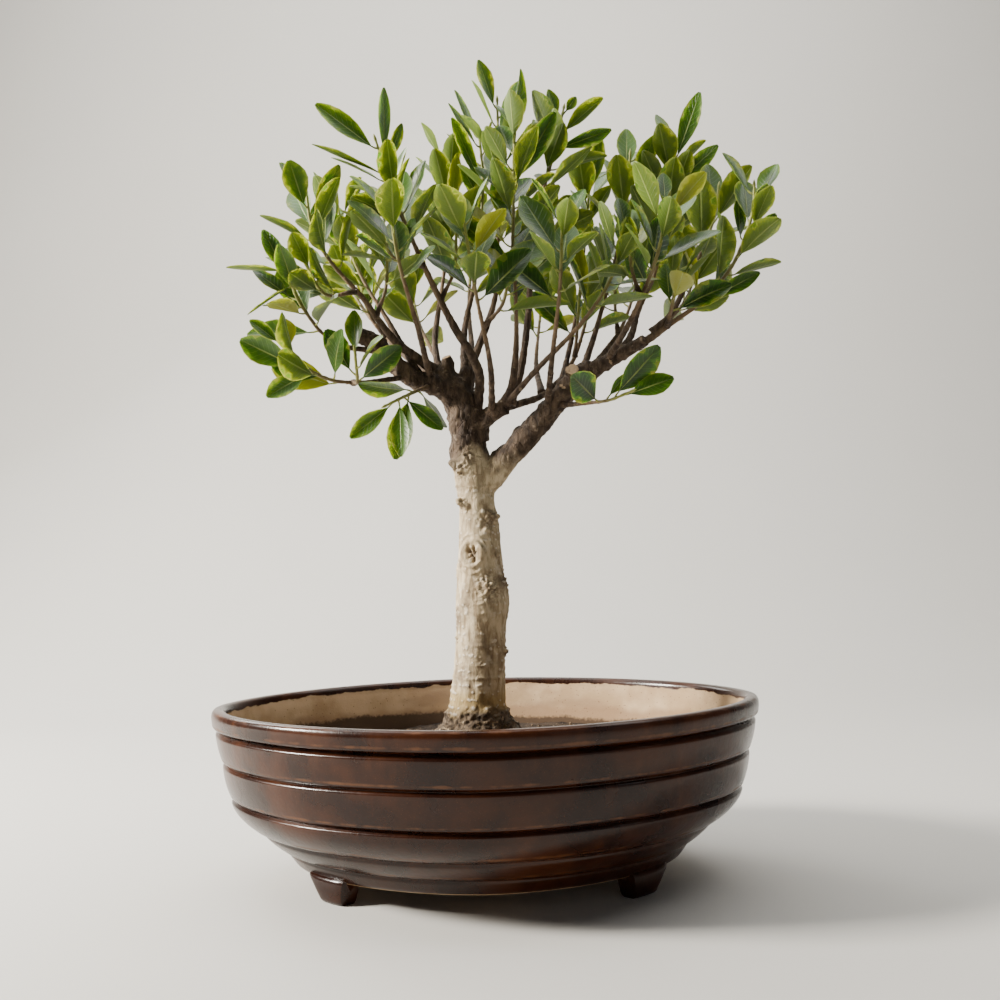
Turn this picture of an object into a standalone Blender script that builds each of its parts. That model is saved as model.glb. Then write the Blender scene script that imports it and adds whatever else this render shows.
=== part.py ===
"""Small-leaved fig grown as a bonsai in an oval glazed pot.

The pot stands on four feet with its long axis along X and holds soil over two screened drain holes.
The woody parts of the tree, from the roots to the twig ends, are one solid. Each green shoot with its
leaves is a solid of its own that starts where its twig ends.

Lengths are in millimetres until a mesh is written, which is in metres. The tree is described in its own
frame: x to its right, y to its back, z above the floor, with the middle of the pot at x = y = 0.
"""

import math
import random

import bmesh
import bpy
from mathutils import Quaternion, Vector
from mathutils.bvhtree import BVHTree

METRES = 0.001
GAP = 0.3                      # clearance kept between neighbouring solids
SHOOT_GAP = 0.8                # from the cut end of a twig to the foot of its green shoot

# Pot
POT_HALF_LENGTH = 175.0        # half of the 350 mm rim
POT_HALF_WIDTH = 134.0
POT_HEIGHT = 111.0
OVAL_POWER = 1.78              # 2 is an ellipse; less draws the ends to a blunt point
WIDTH_INSET_SHARE = 0.9        # how much of an inset the short axis takes
POT_SIDES = 48
FOOT_HEIGHT = 12.5
FLOOR_THICKNESS = 8.0
RIM_BAND_BOTTOM = 99.0
RIM_BAND_INSET = 1.0
COURSE_EDGES = ((98.0, 2.6), (78.0, 7.0), (55.0, 13.0), (35.0, 30.5), (22.0, 46.0))   # height, inset
COURSE_SWELL = (1.2, 1.6, 5.0, 1.5)
GROOVE_DEPTH = 1.8
BASE_INSET = 53.0
INNER_WALL = ((109.5, 9.5), (100.0, 11.0), (66.0, 18.5), (50.0, 26.0), (36.0, 39.5), (25.0, 54.0))
INNER_FLOOR_INSET = 62.0
FOOT_TOP = (28.0, 45.0)        # degrees of the oval that a foot covers at its top and at its sole
FOOT_SOLE = (35.0, 44.0)
FOOT_INSET = 47.0
FOOT_THICKNESS = 15.0
DRAIN_OFFSET = 58.0
DRAIN_RADIUS = 9.0
SCREEN_SIZE = 26.0
SCREEN_THICKNESS = 1.2

# Soil
SOIL_AT_WALL = 78.0
SOIL_MOUND = 8.0
SOIL_SIDES = POT_SIDES // 2

# Tree
ROW_SHIFT = (-6.0, 0.0)            # brings the middle of the whole outline to the origin
LEAF_TURN = math.radians(137.5)    # from one leaf to the next around a shoot
ROOT_CLEARANCE = 0.4

# x, y, z, radius down the middle of the trunk and the left limb it runs into
TRUNK = (
    (-5, 1, 53, 15), (-5, 1, 66, 23), (-5, 0, 80, 27), (-5, 0, 88, 26), (-5, 0, 96, 21.5), (-5, 0, 106, 18.2),
    (-4, 0, 120, 16.8), (-3, 1, 139, 16.2), (-2, 2, 157, 16.6), (0, 2, 175, 17.6), (-1, 3, 190, 15.6),
    (-1, 4, 204, 14.4), (-1, 5, 220, 13.2), (-2, 5, 237, 11.4), (-4, 6, 255, 12.6), (-7, 6, 271, 12.0),
    (-8, 6, 286, 10.8), (-11, 5, 303, 11.0), (-18, 2, 316, 9.2), (-27, 0, 326, 6.5),
)
ROOTS = (
    ((-17, -8, 92, 9), (-28, -14, 84, 7), (-38, -19, 75, 4)),
    ((-8, -14, 92, 9), (-6, -27, 85, 7), (-1, -37, 75, 4)),
    ((8, -8, 92, 9), (19, -14, 84, 7.5), (31, -22, 74, 4.5)),
    ((6, 10, 92, 9), (16, 20, 84, 7), (24, 30, 74, 4)),
    ((-13, 12, 92, 9), (-22, 21, 84, 7), (-31, 30, 74, 4)),
)
LIMBS = (
    ((-1, 6, 245, 8), (7, 5, 255, 9.2), (14, 4, 263, 8.8), (24, 0, 273, 8), (36, -4, 285, 7.8), (48, -8, 298, 7.6),
     (60, -12, 310, 8), (69, -14, 317, 8.6), (75, -15, 322, 6.5)),
    ((-10, 5, 302, 8), (-24, -2, 314, 7.4), (-36, -5, 318, 6.8), (-45, -8, 322, 6.2), (-56, -12, 333, 5.4),
     (-67, -18, 343, 5.0), (-79, -22, 347, 4.2)),
    ((-1, 6, 281, 8), (2, 4, 290, 6.8), (10, -1, 296, 5.6), (19, -5, 299, 4.4)),
    ((-12, 4, 308, 7), (-8, 4, 318, 6), (-6, 4, 328, 4.4)),
    ((70, -14, 317, 6), (80, -17, 323, 5.0), (92, -22, 329, 4.2), (107, -29, 336, 3.6)),
    ((56, -10, 306, 6), (62, -2, 314, 5.6), (70, 6, 321, 4.6)),
)
# short stubs and knots: from, to, radius at each end
STUBS = (
    ((-11, 0, 259), (-21, -3, 267), 4.6, 3.4),
    ((-9, -2, 236), (-16, -5, 239), 4.2, 2.6),
    ((5, -2, 228), (12, -4, 227), 4.4, 2.8),
    ((8, -2, 142), (17, -5, 141), 4.6, 2.2),
    ((3, -10, 183), (5, -18, 184), 6.0, 3.8),
    ((-4, -8, 204), (-7, -14, 205), 6.4, 4.4),
    ((50, -8, 298), (56, -17, 310), 4.4, 3.6),
    ((64, -13, 314), (61, -24, 320), 5.0, 4.4),
    ((-16, 2, 318), (-20, -4, 334), 4.6, 3.8),
    ((74, -15, 321), (86, -22, 325), 4.6, 3.4),
)
# twigs: route, radius at the start and at the tip, leafy length at the end, leaves on it, droop of the leaves
TWIGS = (
    (((64, -12, 314), (100, -25, 331), (126, -38, 347), (142, -45, 357), (158, -50, 375), (166, -53, 391),
      (172, -55, 409), (173, -56, 423)), 3.6, 1.3, 84, 14, 0.0),
    (((111, -31, 340), (121, -35, 348), (140, -30, 382), (153, -25, 411), (159, -20, 436)), 2.3, 1.2, 60, 10, 0.0),
    (((90, -20, 328), (99, -15, 340), (108, -4, 364), (119, 8, 385), (127, 12, 413), (133, 16, 438),
      (137, 16, 465), (139, 14, 479)), 2.8, 1.2, 112, 18, 0.0),
    (((50, -9, 299), (64, -28, 297), (80, -52, 295), (92, -64, 298)), 2.0, 1.1, 32, 4, 0.3),
    (((-27, 0, 325), (-53, -20, 343), (-66, -32, 362), (-77, -38, 374), (-92, -45, 393), (-99, -50, 410),
      (-101, -52, 428)), 3.4, 1.2, 56, 10, 0.0),
    (((-43, -8, 321), (-66, -30, 314), (-82, -50, 311), (-95, -62, 314), (-108, -70, 323), (-114, -73, 335)),
     2.0, 1.1, 54, 9, 0.0),
    (((-2, 5, 296), (2, -8, 318), (-4, -18, 334), (-13, -25, 348), (-24, -32, 370), (-33, -40, 390),
      (-44, -48, 416), (-50, -52, 434), (-57, -58, 457)), 3.6, 1.4, 66, 12, 0.0),
    (((13, -3, 297), (22, -10, 311), (26, -20, 340), (26, -30, 374), (25, -36, 396), (26, -38, 418),
      (27, -37, 448), (29, -35, 478)), 3.2, 1.2, 124, 20, 0.0),
    (((-7, 4, 322), (2, 12, 345), (14, 12, 379), (16, 8, 414), (18, 4, 445), (18, 2, 474), (18, 0, 505)),
     3.2, 1.2, 104, 16, 0.0),
    (((15, -3, 299), (35, 5, 305), (46, 18, 312), (60, 30, 327), (68, 38, 341), (74, 43, 358), (80, 46, 381),
      (84, 46, 405)), 2.6, 1.2, 54, 9, 0.0),
    (((19, -6, 302), (40, -30, 321), (57, -45, 335), (70, -55, 348), (82, -62, 365), (90, -66, 386)),
     2.2, 1.1, 48, 9, 0.1),
    (((21, -6, 301), (29, -4, 325), (35, -6, 364), (38, -10, 404), (44, -10, 433), (54, -6, 466), (62, 0, 499)),
     2.8, 1.3, 66, 12, 0.0),
    (((-8, 4, 324), (-8, 14, 355), (0, 18, 390), (4, 19, 424), (7, 17, 458), (5, 14, 491)),
     2.8, 1.2, 96, 15, 0.0),
    (((66, 2, 317), (76, 18, 340), (88, 30, 376), (99, 34, 413), (106, 31, 444), (109, 28, 477)),
     2.6, 1.2, 90, 15, 0.0),
    (((56, 20, 318), (64, 42, 346), (72, 47, 381), (77, 50, 418), (81, 46, 453), (83, 40, 475)),
     2.2, 1.1, 76, 12, 0.0),
    (((-59, -14, 336), (-77, -24, 337), (-91, -32, 340), (-102, -45, 353), (-109, -52, 366), (-113, -57, 383)),
     2.2, 1.1, 50, 10, 0.2),
    (((-20, 1, 318), (-45, 26, 337), (-71, 48, 367), (-90, 58, 398), (-98, 60, 423)), 2.6, 1.1, 60, 10, 0.0),
    (((-36, -5, 319), (-49, -5, 343), (-61, -3, 365), (-74, -1, 388), (-86, 0, 418), (-90, 0, 441)),
     2.6, 1.2, 74, 12, 0.0),
    (((-24, 1, 322), (-28, 12, 347), (-24, 20, 378), (-19, 25, 413), (-16, 26, 448), (-18, 23, 478)),
     2.6, 1.2, 86, 14, 0.0),
    (((-6, 6, 324), (-4, 38, 347), (-6, 66, 382), (-4, 80, 419), (-2, 84, 448)), 2.8, 1.2, 62, 12, 0.0),
    (((68, 2, 319), (84, 30, 337), (104, 60, 366), (117, 78, 402), (121, 84, 432)), 2.6, 1.1, 60, 10, 0.0),
    (((96, -23, 331), (121, 8, 350), (145, 34, 377), (158, 46, 410)), 2.4, 1.1, 56, 10, 0.0),
    (((-14, 5, 318), (-28, 46, 341), (-43, 82, 376), (-51, 98, 415)), 2.6, 1.1, 58, 10, 0.0),
    (((43, 16, 311), (41, 54, 337), (45, 86, 371), (51, 102, 412)), 2.4, 1.1, 60, 10, 0.0),
    (((9, -2, 296), (9, -36, 322), (2, -72, 357), (-4, -92, 397)), 2.4, 1.1, 54, 9, 0.1),
    (((45, -7, 296), (47, -48, 322), (51, -80, 357), (53, -96, 396)), 2.4, 1.1, 54, 9, 0.1),
    (((-30, -3, 318), (-35, -42, 344), (-43, -76, 377), (-47, -92, 410)), 2.4, 1.1, 52, 9, 0.0),
    (((84, -20, 326), (96, -56, 345), (108, -82, 374), (115, -90, 406)), 2.4, 1.1, 52, 9, 0.0),
    (((-28, -3, 316), (-36, -20, 310), (-44, -34, 304), (-55, -44, 297)), 1.9, 1.1, 34, 6, 0.7),
)
# side twigs: index of the twig that bears it, place along that twig, turn about it, length, leafy length, leaves
SIDE_TWIGS = (
    (0, 0.40, 60, 46, 34, 7), (4, 0.40, 200, 44, 32, 6), (4, 0.52, 20, 44, 34, 7), (5, 0.45, 90, 34, 26, 4),
    (6, 0.45, 220, 48, 36, 7), (6, 0.57, 40, 44, 34, 6), (9, 0.55, 30, 42, 32, 6), (11, 0.50, 250, 44, 34, 6),
    (16, 0.50, 120, 44, 32, 6), (20, 0.45, 30, 44, 32, 6), (24, 0.50, 210, 42, 32, 6), (27, 0.50, 330, 42, 32, 6),
)
SIDE_TWIG_RADII = (1.6, 1.1)
# leaves that shape the outline: index of the twig, where the stalk springs, tip of the leaf, how wide it looks
# from the tree's front and how far its broad side is turned from there, in degrees
OUTLINE_LEAVES = (
    (8, (18, 0, 513), (8, -8, 534), 11, 20),
    (8, (17, 0, 479), (17, -12, 517), 11, 0),
    (7, (27, -34, 480), (27, -30, 514), 8, 40),
    (7, (29, -34, 475), (34, -40, 505), 6, 65),
    (11, (56, -2, 488), (52, -6, 511), 9, 20),
    (11, (63, 0, 495), (70, -10, 503), 6, 30),
    (7, (31, -38, 437), (54, -50, 477), 14, 15),
    (12, (14, 16, 458), (-11, -10, 488), 13, 25),
    (12, (2, 14, 492), (-10, 10, 520), 7, 50),
    (12, (-1, 14, 489), (-15, 0, 506), 7, 40),
    (6, (-60, -56, 453), (-92, -70, 478), 14, 5),
    (6, (-53, -56, 452), (-46, -50, 494), 7, 35),
    (6, (-56, -54, 436), (-94, -75, 451), 5, 70),
    (6, (-52, -56, 446), (-41, -50, 472), 6, 40),
    (4, (-99, -52, 417), (-110, -62, 446), 16, 0),
    (4, (-97, -50, 415), (-79, -60, 443), 10, 30),
    (17, (-82, 0, 399), (-92, -20, 427), 15, 5),
    (15, (-112, -58, 384), (-146, -72, 379), 5, 75),
    (15, (-107, -52, 367), (-115, -70, 391), 13, 0),
    (15, (-112, -55, 369), (-136, -70, 350), 5, 70),
    (15, (-107, -50, 355), (-127, -62, 357), 7, 55),
    (5, (-112, -70, 331), (-126, -80, 350), 9, 20),
    (5, (-109, -70, 326), (-113, -78, 345), 12, 0),
    (15, (-113, -58, 384), (-129, -50, 408), 11, 10),
    (5, (-101, -65, 311), (-122, -78, 299), 14, 0),
    (28, (-61, -46, 297), (-79, -52, 277), 12, 0),
    (28, (-40, -40, 293), (-47, -46, 264), 12, 10),
    (28, (-45, -36, 298), (-21, -34, 282), 11, 5),
    (3, (93, -65, 298), (109, -72, 301), 14, 0),
    (3, (82, -50, 296), (92, -52, 311), 6, 30),
    (0, (162, -54, 385), (189, -58, 412), 11, 15),
    (0, (160, -55, 391), (170, -52, 426), 9, 30),
    (0, (171, -56, 408), (174, -60, 428), 7, 30),
    (0, (148, -50, 356), (167, -56, 363), 10, 10),
    (2, (144, 16, 448), (163, -6, 470), 11, 20),
    (2, (140, 15, 468), (143, 12, 502), 13, 10),
    (2, (136, 16, 474), (128, 22, 505), 10, 25),
    (1, (154, -22, 422), (155, -12, 456), 16, 10),
    (13, (112, 28, 452), (125, 10, 485), 12, 25),
    (13, (107, 28, 468), (106, 30, 501), 14, 15),
    (14, (80, 44, 459), (89, 34, 491), 11, 20),
    (11, (60, -5, 470), (92, -20, 476), 5, 70),
    (7, (22, -36, 381), (-5, -50, 409), 18, 5),
    (18, (-33, 24, 438), (-9, 0, 471), 9, 30),
    (12, (3, 18, 441), (-7, 0, 463), 11, 15),
    (9, (58, 30, 378), (69, 20, 422), 11, 30),
    (7, (27, -34, 369), (58, -60, 392), 13, 20),
    (2, (109, 0, 369), (92, -25, 400), 17, 5),
    (2, (116, 5, 370), (83, -30, 359), 8, 40),
    (13, (110, 30, 453), (98, 40, 487), 10, 30),
)

# spacing of the rings along each kind of wood
TRUNK_STEP = 12.0
FOOT_STEP = 6.0
ROOT_STEP = 9.0
LIMB_STEP = 10.0
STUB_STEP = 6.0
ROUTE_STEP = 4.0
TWIG_STEP = 16.0
GREEN_STEPS = 12
TRUNK_SIDES = 14

LEAF_LENGTH = (29.0, 40.0)
LEAF_WIDTH_SHARE = (0.44, 0.58)
LEAF_HALF_THICKNESS = 0.35
FORESHORTEN_LIMIT = 0.40       # smallest share of its width that a turned outline leaf is taken to show
PETIOLE_LENGTH = (4.0, 6.5)
PETIOLE_HALF = 0.6
NODE_LENGTH = 1.5              # length of stem that one leaf stalk springs from
STEM_TIP_RADIUS = 0.62
BUD_LENGTH = 5.0
LIGHT_PULL = 0.18              # how strongly a leaf turns up to the light
LEAF_TRIES = 40
FOLD_LIMIT = 0.0         # least agreement between a stalk's side and the way out from its middle
LEAF_LEAN = (58.0, 24.0)       # degrees from the stem at the foot of a shoot, and how much less at its tip
LEAF_WANDER = (4.0, 2.6)       # degrees of chance in a leaf's direction, and how much more at each new try
SHOOT_TURN = 2.4               # radians from the first leaf of one shoot to that of the next
CROWN_REACH = ((-152.0, 190.6), (-128.0, 128.0), (255.0, 534.1))   # farthest that a leaf's tip reaches
LEAF_STATIONS = (0.0, 0.40, 0.74)
LEAF_CLEARANCE = 0.45


def clear_scene():
    """Remove whatever the file holds."""
    for thing in list(bpy.data.objects):
        bpy.data.objects.remove(thing, do_unlink=True)


def make_material(name, colour, roughness, metallic=0.0):
    """Plain Principled material."""
    material = bpy.data.materials.new(name)
    material.use_nodes = True
    shader = material.node_tree.nodes["Principled BSDF"]
    shader.inputs["Base Color"].default_value = (*colour, 1.0)
    shader.inputs["Roughness"].default_value = roughness
    shader.inputs["Metallic"].default_value = metallic
    material.diffuse_color = (*colour, 1.0)
    return material


def write_object(name, verts, faces, material, smooth=True):
    """Write a closed shape in metres, its faces pointing out."""
    mesh = bpy.data.meshes.new(name)
    bm = bmesh.new()
    shift = Vector((*ROW_SHIFT, 0.0))
    handles = [bm.verts.new((Vector(v) + shift) * METRES) for v in verts]
    for face in faces:
        bm.faces.new([handles[i] for i in face])
    bmesh.ops.recalc_face_normals(bm, faces=bm.faces)
    bm.to_mesh(mesh)
    bm.free()
    if smooth:
        mesh.shade_smooth()
        mesh.set_sharp_from_angle(angle=math.radians(40))
    mesh.materials.append(material)
    thing = bpy.data.objects.new(name, mesh)
    bpy.context.scene.collection.objects.link(thing)
    return thing


def as_tool(thing):
    """Mark an object as a shape that only cuts or fills another."""
    thing.hide_render = True
    thing.display_type = "WIRE"


def combine(thing, operation, tools):
    """Keep one Boolean with all its tools on the object."""
    group = bpy.data.collections.new(f"{thing.name}_{operation.lower()}")
    bpy.context.scene.collection.children.link(group)
    for tool in tools:
        bpy.context.scene.collection.objects.unlink(tool)
        group.objects.link(tool)
        as_tool(tool)
    modifier = thing.modifiers.new(operation.lower(), "BOOLEAN")
    modifier.operation = operation
    modifier.solver = "EXACT"
    modifier.operand_type = "COLLECTION"
    modifier.collection = group


# ---------------------------------------------------------------- pot, screens and soil

def oval_point(angle, inset, height):
    """Point of the pot's oval, drawn in by inset."""
    c, s = math.cos(angle), math.sin(angle)
    power = 2.0 / OVAL_POWER
    return Vector((math.copysign(abs(c) ** power, c) * (POT_HALF_LENGTH - inset),
                   math.copysign(abs(s) ** power, s) * (POT_HALF_WIDTH - WIDTH_INSET_SHARE * inset), height))


def oval_ring(inset, height, sides):
    """One level ring of the pot's oval, drawn in by inset all round."""
    ring = []
    for i in range(sides):
        ring.append(oval_point(2 * math.pi * i / sides, inset, height))
    return ring


def stack_rings(rings):
    """Closed shape through a stack of rings of equal count."""
    sides = len(rings[0])
    verts = [v for ring in rings for v in ring]
    faces = [list(reversed(range(sides)))]
    for level in range(len(rings) - 1):
        low = level * sides
        for i in range(sides):
            j = (i + 1) % sides
            faces.append([low + i, low + j, low + sides + j, low + sides + i])
    last = (len(rings) - 1) * sides
    faces.append([last + i for i in range(sides)])
    return verts, faces


def pot_profile():
    """Height and inset from the outer base edge up over the rim and down to the inner floor."""
    profile = [(FOOT_HEIGHT, BASE_INSET), (COURSE_EDGES[-1][0] - 1.5, COURSE_EDGES[-1][1] + 1.0)]
    for edge in range(len(COURSE_EDGES) - 1, 0, -1):
        low_z, low_inset = COURSE_EDGES[edge]
        top_z, top_inset = COURSE_EDGES[edge - 1]
        swell = COURSE_SWELL[edge - 1]
        for along, share in ((0.12, 0.45), (0.55, 1.0)):
            height = low_z + (top_z - low_z) * along
            inset = low_inset + (top_inset - low_inset) * along - swell * share
            profile.append((height, inset))
        profile.append((top_z, top_inset + GROOVE_DEPTH))
    profile += [(RIM_BAND_BOTTOM + 1.0, RIM_BAND_INSET), (POT_HEIGHT - 3.0, 0.0), (POT_HEIGHT, 2.5),
                (POT_HEIGHT, 7.5)]
    profile += list(INNER_WALL)
    profile.append((FOOT_HEIGHT + FLOOR_THICKNESS, INNER_FLOOR_INSET))
    return profile


def make_foot(side, front):
    """One foot: a curved block under the edge of the base that narrows to its sole."""
    steps = 4
    rings = []
    for i in range(steps + 1):
        ring = []
        for z, inset, span in ((0.0, FOOT_INSET + 2.5, FOOT_SOLE), (0.0, FOOT_INSET + FOOT_THICKNESS, FOOT_SOLE),
                               (FOOT_HEIGHT + 3.0, FOOT_INSET + FOOT_THICKNESS + 3.0, FOOT_TOP),
                               (FOOT_HEIGHT + 3.0, FOOT_INSET + 1.5, FOOT_TOP)):
            angle = math.radians(span[0] + (span[1] - span[0]) * i / steps)
            point = oval_point(angle, inset, z)
            ring.append(Vector((side * point.x, front * point.y, z)))
        rings.append(ring)
    return stack_rings(rings)


def make_pot(material):
    """The shell, its four feet and two drain holes."""
    rings = [oval_ring(inset, height, POT_SIDES) for height, inset in pot_profile()]
    verts, faces = stack_rings(rings)
    pot = write_object("pot", verts, faces, material)
    combine(pot, "UNION", [write_object("tool_foot", *make_foot(side, front), material, smooth=False)
                           for side in (-1, 1) for front in (-1, 1)])
    drains = []
    for side in (-1, 1):
        middle = Vector((side * DRAIN_OFFSET, 0.0, FOOT_HEIGHT + FLOOR_THICKNESS / 2))
        reach = Vector((0.0, 0.0, FLOOR_THICKNESS))
        shape = tube([middle - reach, middle + reach], [DRAIN_RADIUS, DRAIN_RADIUS], 20)
        drains.append(write_object("tool_drain", *shape, material, smooth=False))
    combine(pot, "DIFFERENCE", drains)
    return pot


def box_shape(middle, size):
    """Eight corners and six faces."""
    half = [s / 2 for s in size]
    verts = [Vector((middle[0] + sx * half[0], middle[1] + sy * half[1], middle[2] + sz * half[2]))
             for sz in (-1, 1) for sx, sy in ((-1, -1), (1, -1), (1, 1), (-1, 1))]
    faces = [[3, 2, 1, 0], [4, 5, 6, 7], [0, 1, 5, 4], [1, 2, 6, 5], [2, 3, 7, 6], [3, 0, 4, 7]]
    return verts, faces


def screen_middle(side):
    """Middle of one drain screen, which lies on the inner floor."""
    return (side * DRAIN_OFFSET, 0.0, FOOT_HEIGHT + FLOOR_THICKNESS + GAP + SCREEN_THICKNESS / 2)


def make_screens(material):
    """A square of plastic mesh over each drain hole."""
    for number, side in enumerate((-1, 1), start=1):
        verts, faces = box_shape(screen_middle(side), (SCREEN_SIZE, SCREEN_SIZE, SCREEN_THICKNESS))
        write_object(f"drain_screen_{number}", verts, faces, material, smooth=False)


def soil_height(x, y):
    """Height of the soil, mounded at the trunk and slightly uneven."""
    foot = Vector(TRUNK[0][:3])
    away = math.hypot(x - foot.x, y - foot.y)
    mound = SOIL_MOUND * math.exp(-(away / 48.0) ** 2)
    ripple = 0.9 * math.sin(x * 0.071 + 1.3) * math.cos(y * 0.083 - 0.4)
    return SOIL_AT_WALL + mound + ripple


def make_soil(material):
    """Soil filling the pot to below its rim, with sockets for the roots and the screens."""
    floor = FOOT_HEIGHT + FLOOR_THICKNESS + GAP
    (high_z, high_inset), (low_z, low_inset) = INNER_WALL[1:3]
    share = (high_z - SOIL_AT_WALL) / (high_z - low_z)
    side = [(SOIL_AT_WALL, high_inset + (low_inset - high_inset) * share)] + list(INNER_WALL[2:])
    side.append((floor, INNER_FLOOR_INSET))
    rings = [oval_ring(inset + GAP + 0.1, height, SOIL_SIDES) for height, inset in reversed(side)]
    for share in (0.78, 0.56, 0.34, 0.16):
        ring = []
        for v in rings[len(side) - 1]:
            x, y = v.x * share, v.y * share
            ring.append(Vector((x, y, soil_height(x, y))))
        rings.append(ring)
    verts, faces = stack_rings(rings)
    soil = write_object("soil", verts, faces, material)
    sockets = []
    for side in (-1, 1):
        x, y, z = screen_middle(side)
        size = SCREEN_SIZE + 2 * GAP
        shape = box_shape((x, y, z - 1.0), (size, size, SCREEN_THICKNESS + 2 * GAP + 2.0))
        sockets.append(write_object("tool_screen", *shape, material, smooth=False))
    for shape in root_shapes(ROOT_CLEARANCE):
        sockets.append(write_object("tool_root", *shape, material, smooth=False))
    combine(soil, "DIFFERENCE", sockets)
    return soil


# ---------------------------------------------------------------- wood

def spline(points, step):
    """Smooth curve through the points, read at even steps; each point carries any number of values."""
    rows = [tuple(float(v) for v in p) for p in points]
    rows = [tuple(2 * a - b for a, b in zip(rows[0], rows[1]))] + rows
    rows.append(tuple(2 * a - b for a, b in zip(rows[-1], rows[-2])))
    fine = []
    for i in range(1, len(rows) - 2):
        p0, p1, p2, p3 = rows[i - 1:i + 3]
        for k in range(16):
            t = k / 16
            fine.append(tuple(
                0.5 * (2 * b + (c - a) * t + (2 * a - 5 * b + 4 * c - d) * t * t + (3 * b - a - 3 * c + d) * t ** 3)
                for a, b, c, d in zip(p0, p1, p2, p3)))
    fine.append(rows[-2])
    travelled = [0.0]
    for a, b in zip(fine, fine[1:]):
        travelled.append(travelled[-1] + math.dist(a[:3], b[:3]))
    count = max(1, round(travelled[-1] / step))
    result, at = [], 0
    for k in range(count + 1):
        want = travelled[-1] * k / count
        while at < len(fine) - 2 and travelled[at + 1] < want:
            at += 1
        share = (want - travelled[at]) / max(travelled[at + 1] - travelled[at], 1e-9)
        result.append(tuple(a + (b - a) * share for a, b in zip(fine[at], fine[at + 1])))
    return result


def path_length(path):
    """Length along the points of a path."""
    return sum(math.dist(a[:3], b[:3]) for a, b in zip(path, path[1:]))


def point_at(path, distance):
    """Point at a distance along a path."""
    for a, b in zip(path, path[1:]):
        piece = math.dist(a[:3], b[:3])
        if distance <= piece:
            return Vector(a[:3]).lerp(Vector(b[:3]), distance / piece)
        distance -= piece
    return Vector(path[-1][:3])


def frames(path):
    """Direction and two cross directions at each point, turned as little as possible along the way."""
    points = [Vector(p[:3]) for p in path]
    directions = []
    for i in range(len(points)):
        ahead = points[min(i + 1, len(points) - 1)] - points[max(i - 1, 0)]
        directions.append(ahead.normalized())
    side = directions[0].cross(Vector((0.13, 0.97, 0.2))).normalized()
    result = []
    for i, direction in enumerate(directions):
        if i:
            side = directions[i - 1].rotation_difference(direction) @ side
        side = (side - direction * side.dot(direction)).normalized()
        result.append((direction, side, direction.cross(side)))
    return result


def tube(path, radii, sides):
    """Closed round bar along a path."""
    rings = []
    for point, radius, (_, side, up) in zip(path, radii, frames(path)):
        centre = Vector(point[:3])
        rings.append([
            centre + (side * math.cos(2 * math.pi * j / sides) + up * math.sin(2 * math.pi * j / sides)) * radius
            for j in range(sides)
        ])
    return stack_rings(rings)


def limb_tube(rows, step, sides, grow=0.0):
    """Round bar along rows of x, y, z, radius in the tree's frame."""
    path = spline(rows, step)
    return tube(path, [p[3] + grow for p in path], sides)


def root_shapes(grow):
    """The buried foot of the trunk and the surface roots, grown by a clearance when they cut the soil."""
    foot = [row for row in TRUNK if row[2] <= 106]
    if grow:
        foot = [(*foot[0][:2], foot[0][2] - grow, foot[0][3]), *foot[1:]]
    shapes = [limb_tube(foot, FOOT_STEP, TRUNK_SIDES, grow)]
    for root in ROOTS:
        if grow:
            last, before = Vector(root[-1][:3]), Vector(root[-2][:3])
            root = (*root[:-1], (*(last + (last - before).normalized() * grow), root[-1][3]))
        shapes.append(limb_tube(root, ROOT_STEP, 8, grow))
    return shapes


def plan_twigs():
    """All twigs as a wood path with radii and a leafy path: hand-routed ones first, then the side twigs."""
    twigs = []
    for route, start, tip, leafy, leaves, droop in TWIGS:
        twigs.append(make_twig(spline(route, ROUTE_STEP), start, tip, leafy, leaves, droop))
    for bearer, place, turn, length, leafy, leaves in SIDE_TWIGS:
        path = spline(TWIGS[bearer][0], ROUTE_STEP)
        index = min(len(path) - 2, max(1, round(place * (len(path) - 1))))
        direction, side, up = frames(path)[index]
        angle = math.radians(turn)
        out = side * math.cos(angle) + up * math.sin(angle)
        start = Vector(path[index])
        knee = start + (out * 0.8 + direction * 0.6).normalized() * length * 0.45
        end = knee + (out * 0.35 + direction * 0.45 + Vector((0, 0, 0.8))).normalized() * length * 0.55
        twigs.append(make_twig(spline((start, knee, end), ROUTE_STEP), *SIDE_TWIG_RADII, leafy, leaves, 0.0))
    return twigs


def make_twig(path, start, tip, leafy, leaves, droop):
    """Split one twig's route where its wood ends and its green shoot starts."""
    total = path_length(path)
    wood_length = total - leafy
    wood_steps = max(2, round(wood_length / TWIG_STEP))
    wood = [point_at(path, wood_length * k / wood_steps) for k in range(wood_steps + 1)]
    radii = [start + (tip - start) * k / wood_steps for k in range(wood_steps + 1)]
    green = [point_at(path, wood_length + SHOOT_GAP + (leafy - SHOOT_GAP) * k / GREEN_STEPS)
             for k in range(GREEN_STEPS + 1)]
    return {"wood": wood, "radii": radii, "green": green, "leaves": leaves, "droop": droop, "tip": tip}


def wood_shapes(twigs):
    """Every limb, stub and twig as its own overlapping bar."""
    shapes = []
    for rows in LIMBS:
        shapes.append(limb_tube(rows, LIMB_STEP, 10))
    for start, end, wide, narrow in STUBS:
        rows = ((*start, wide), (*(Vector(start).lerp(Vector(end), 0.55)), (wide + narrow) / 2), (*end, narrow))
        shapes.append(limb_tube(rows, STUB_STEP, 7))
    for twig in twigs:
        sides = 6 if twig["radii"][0] > 2.5 else 5
        shapes.append(tube(twig["wood"], twig["radii"], sides))
    return shapes


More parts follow.
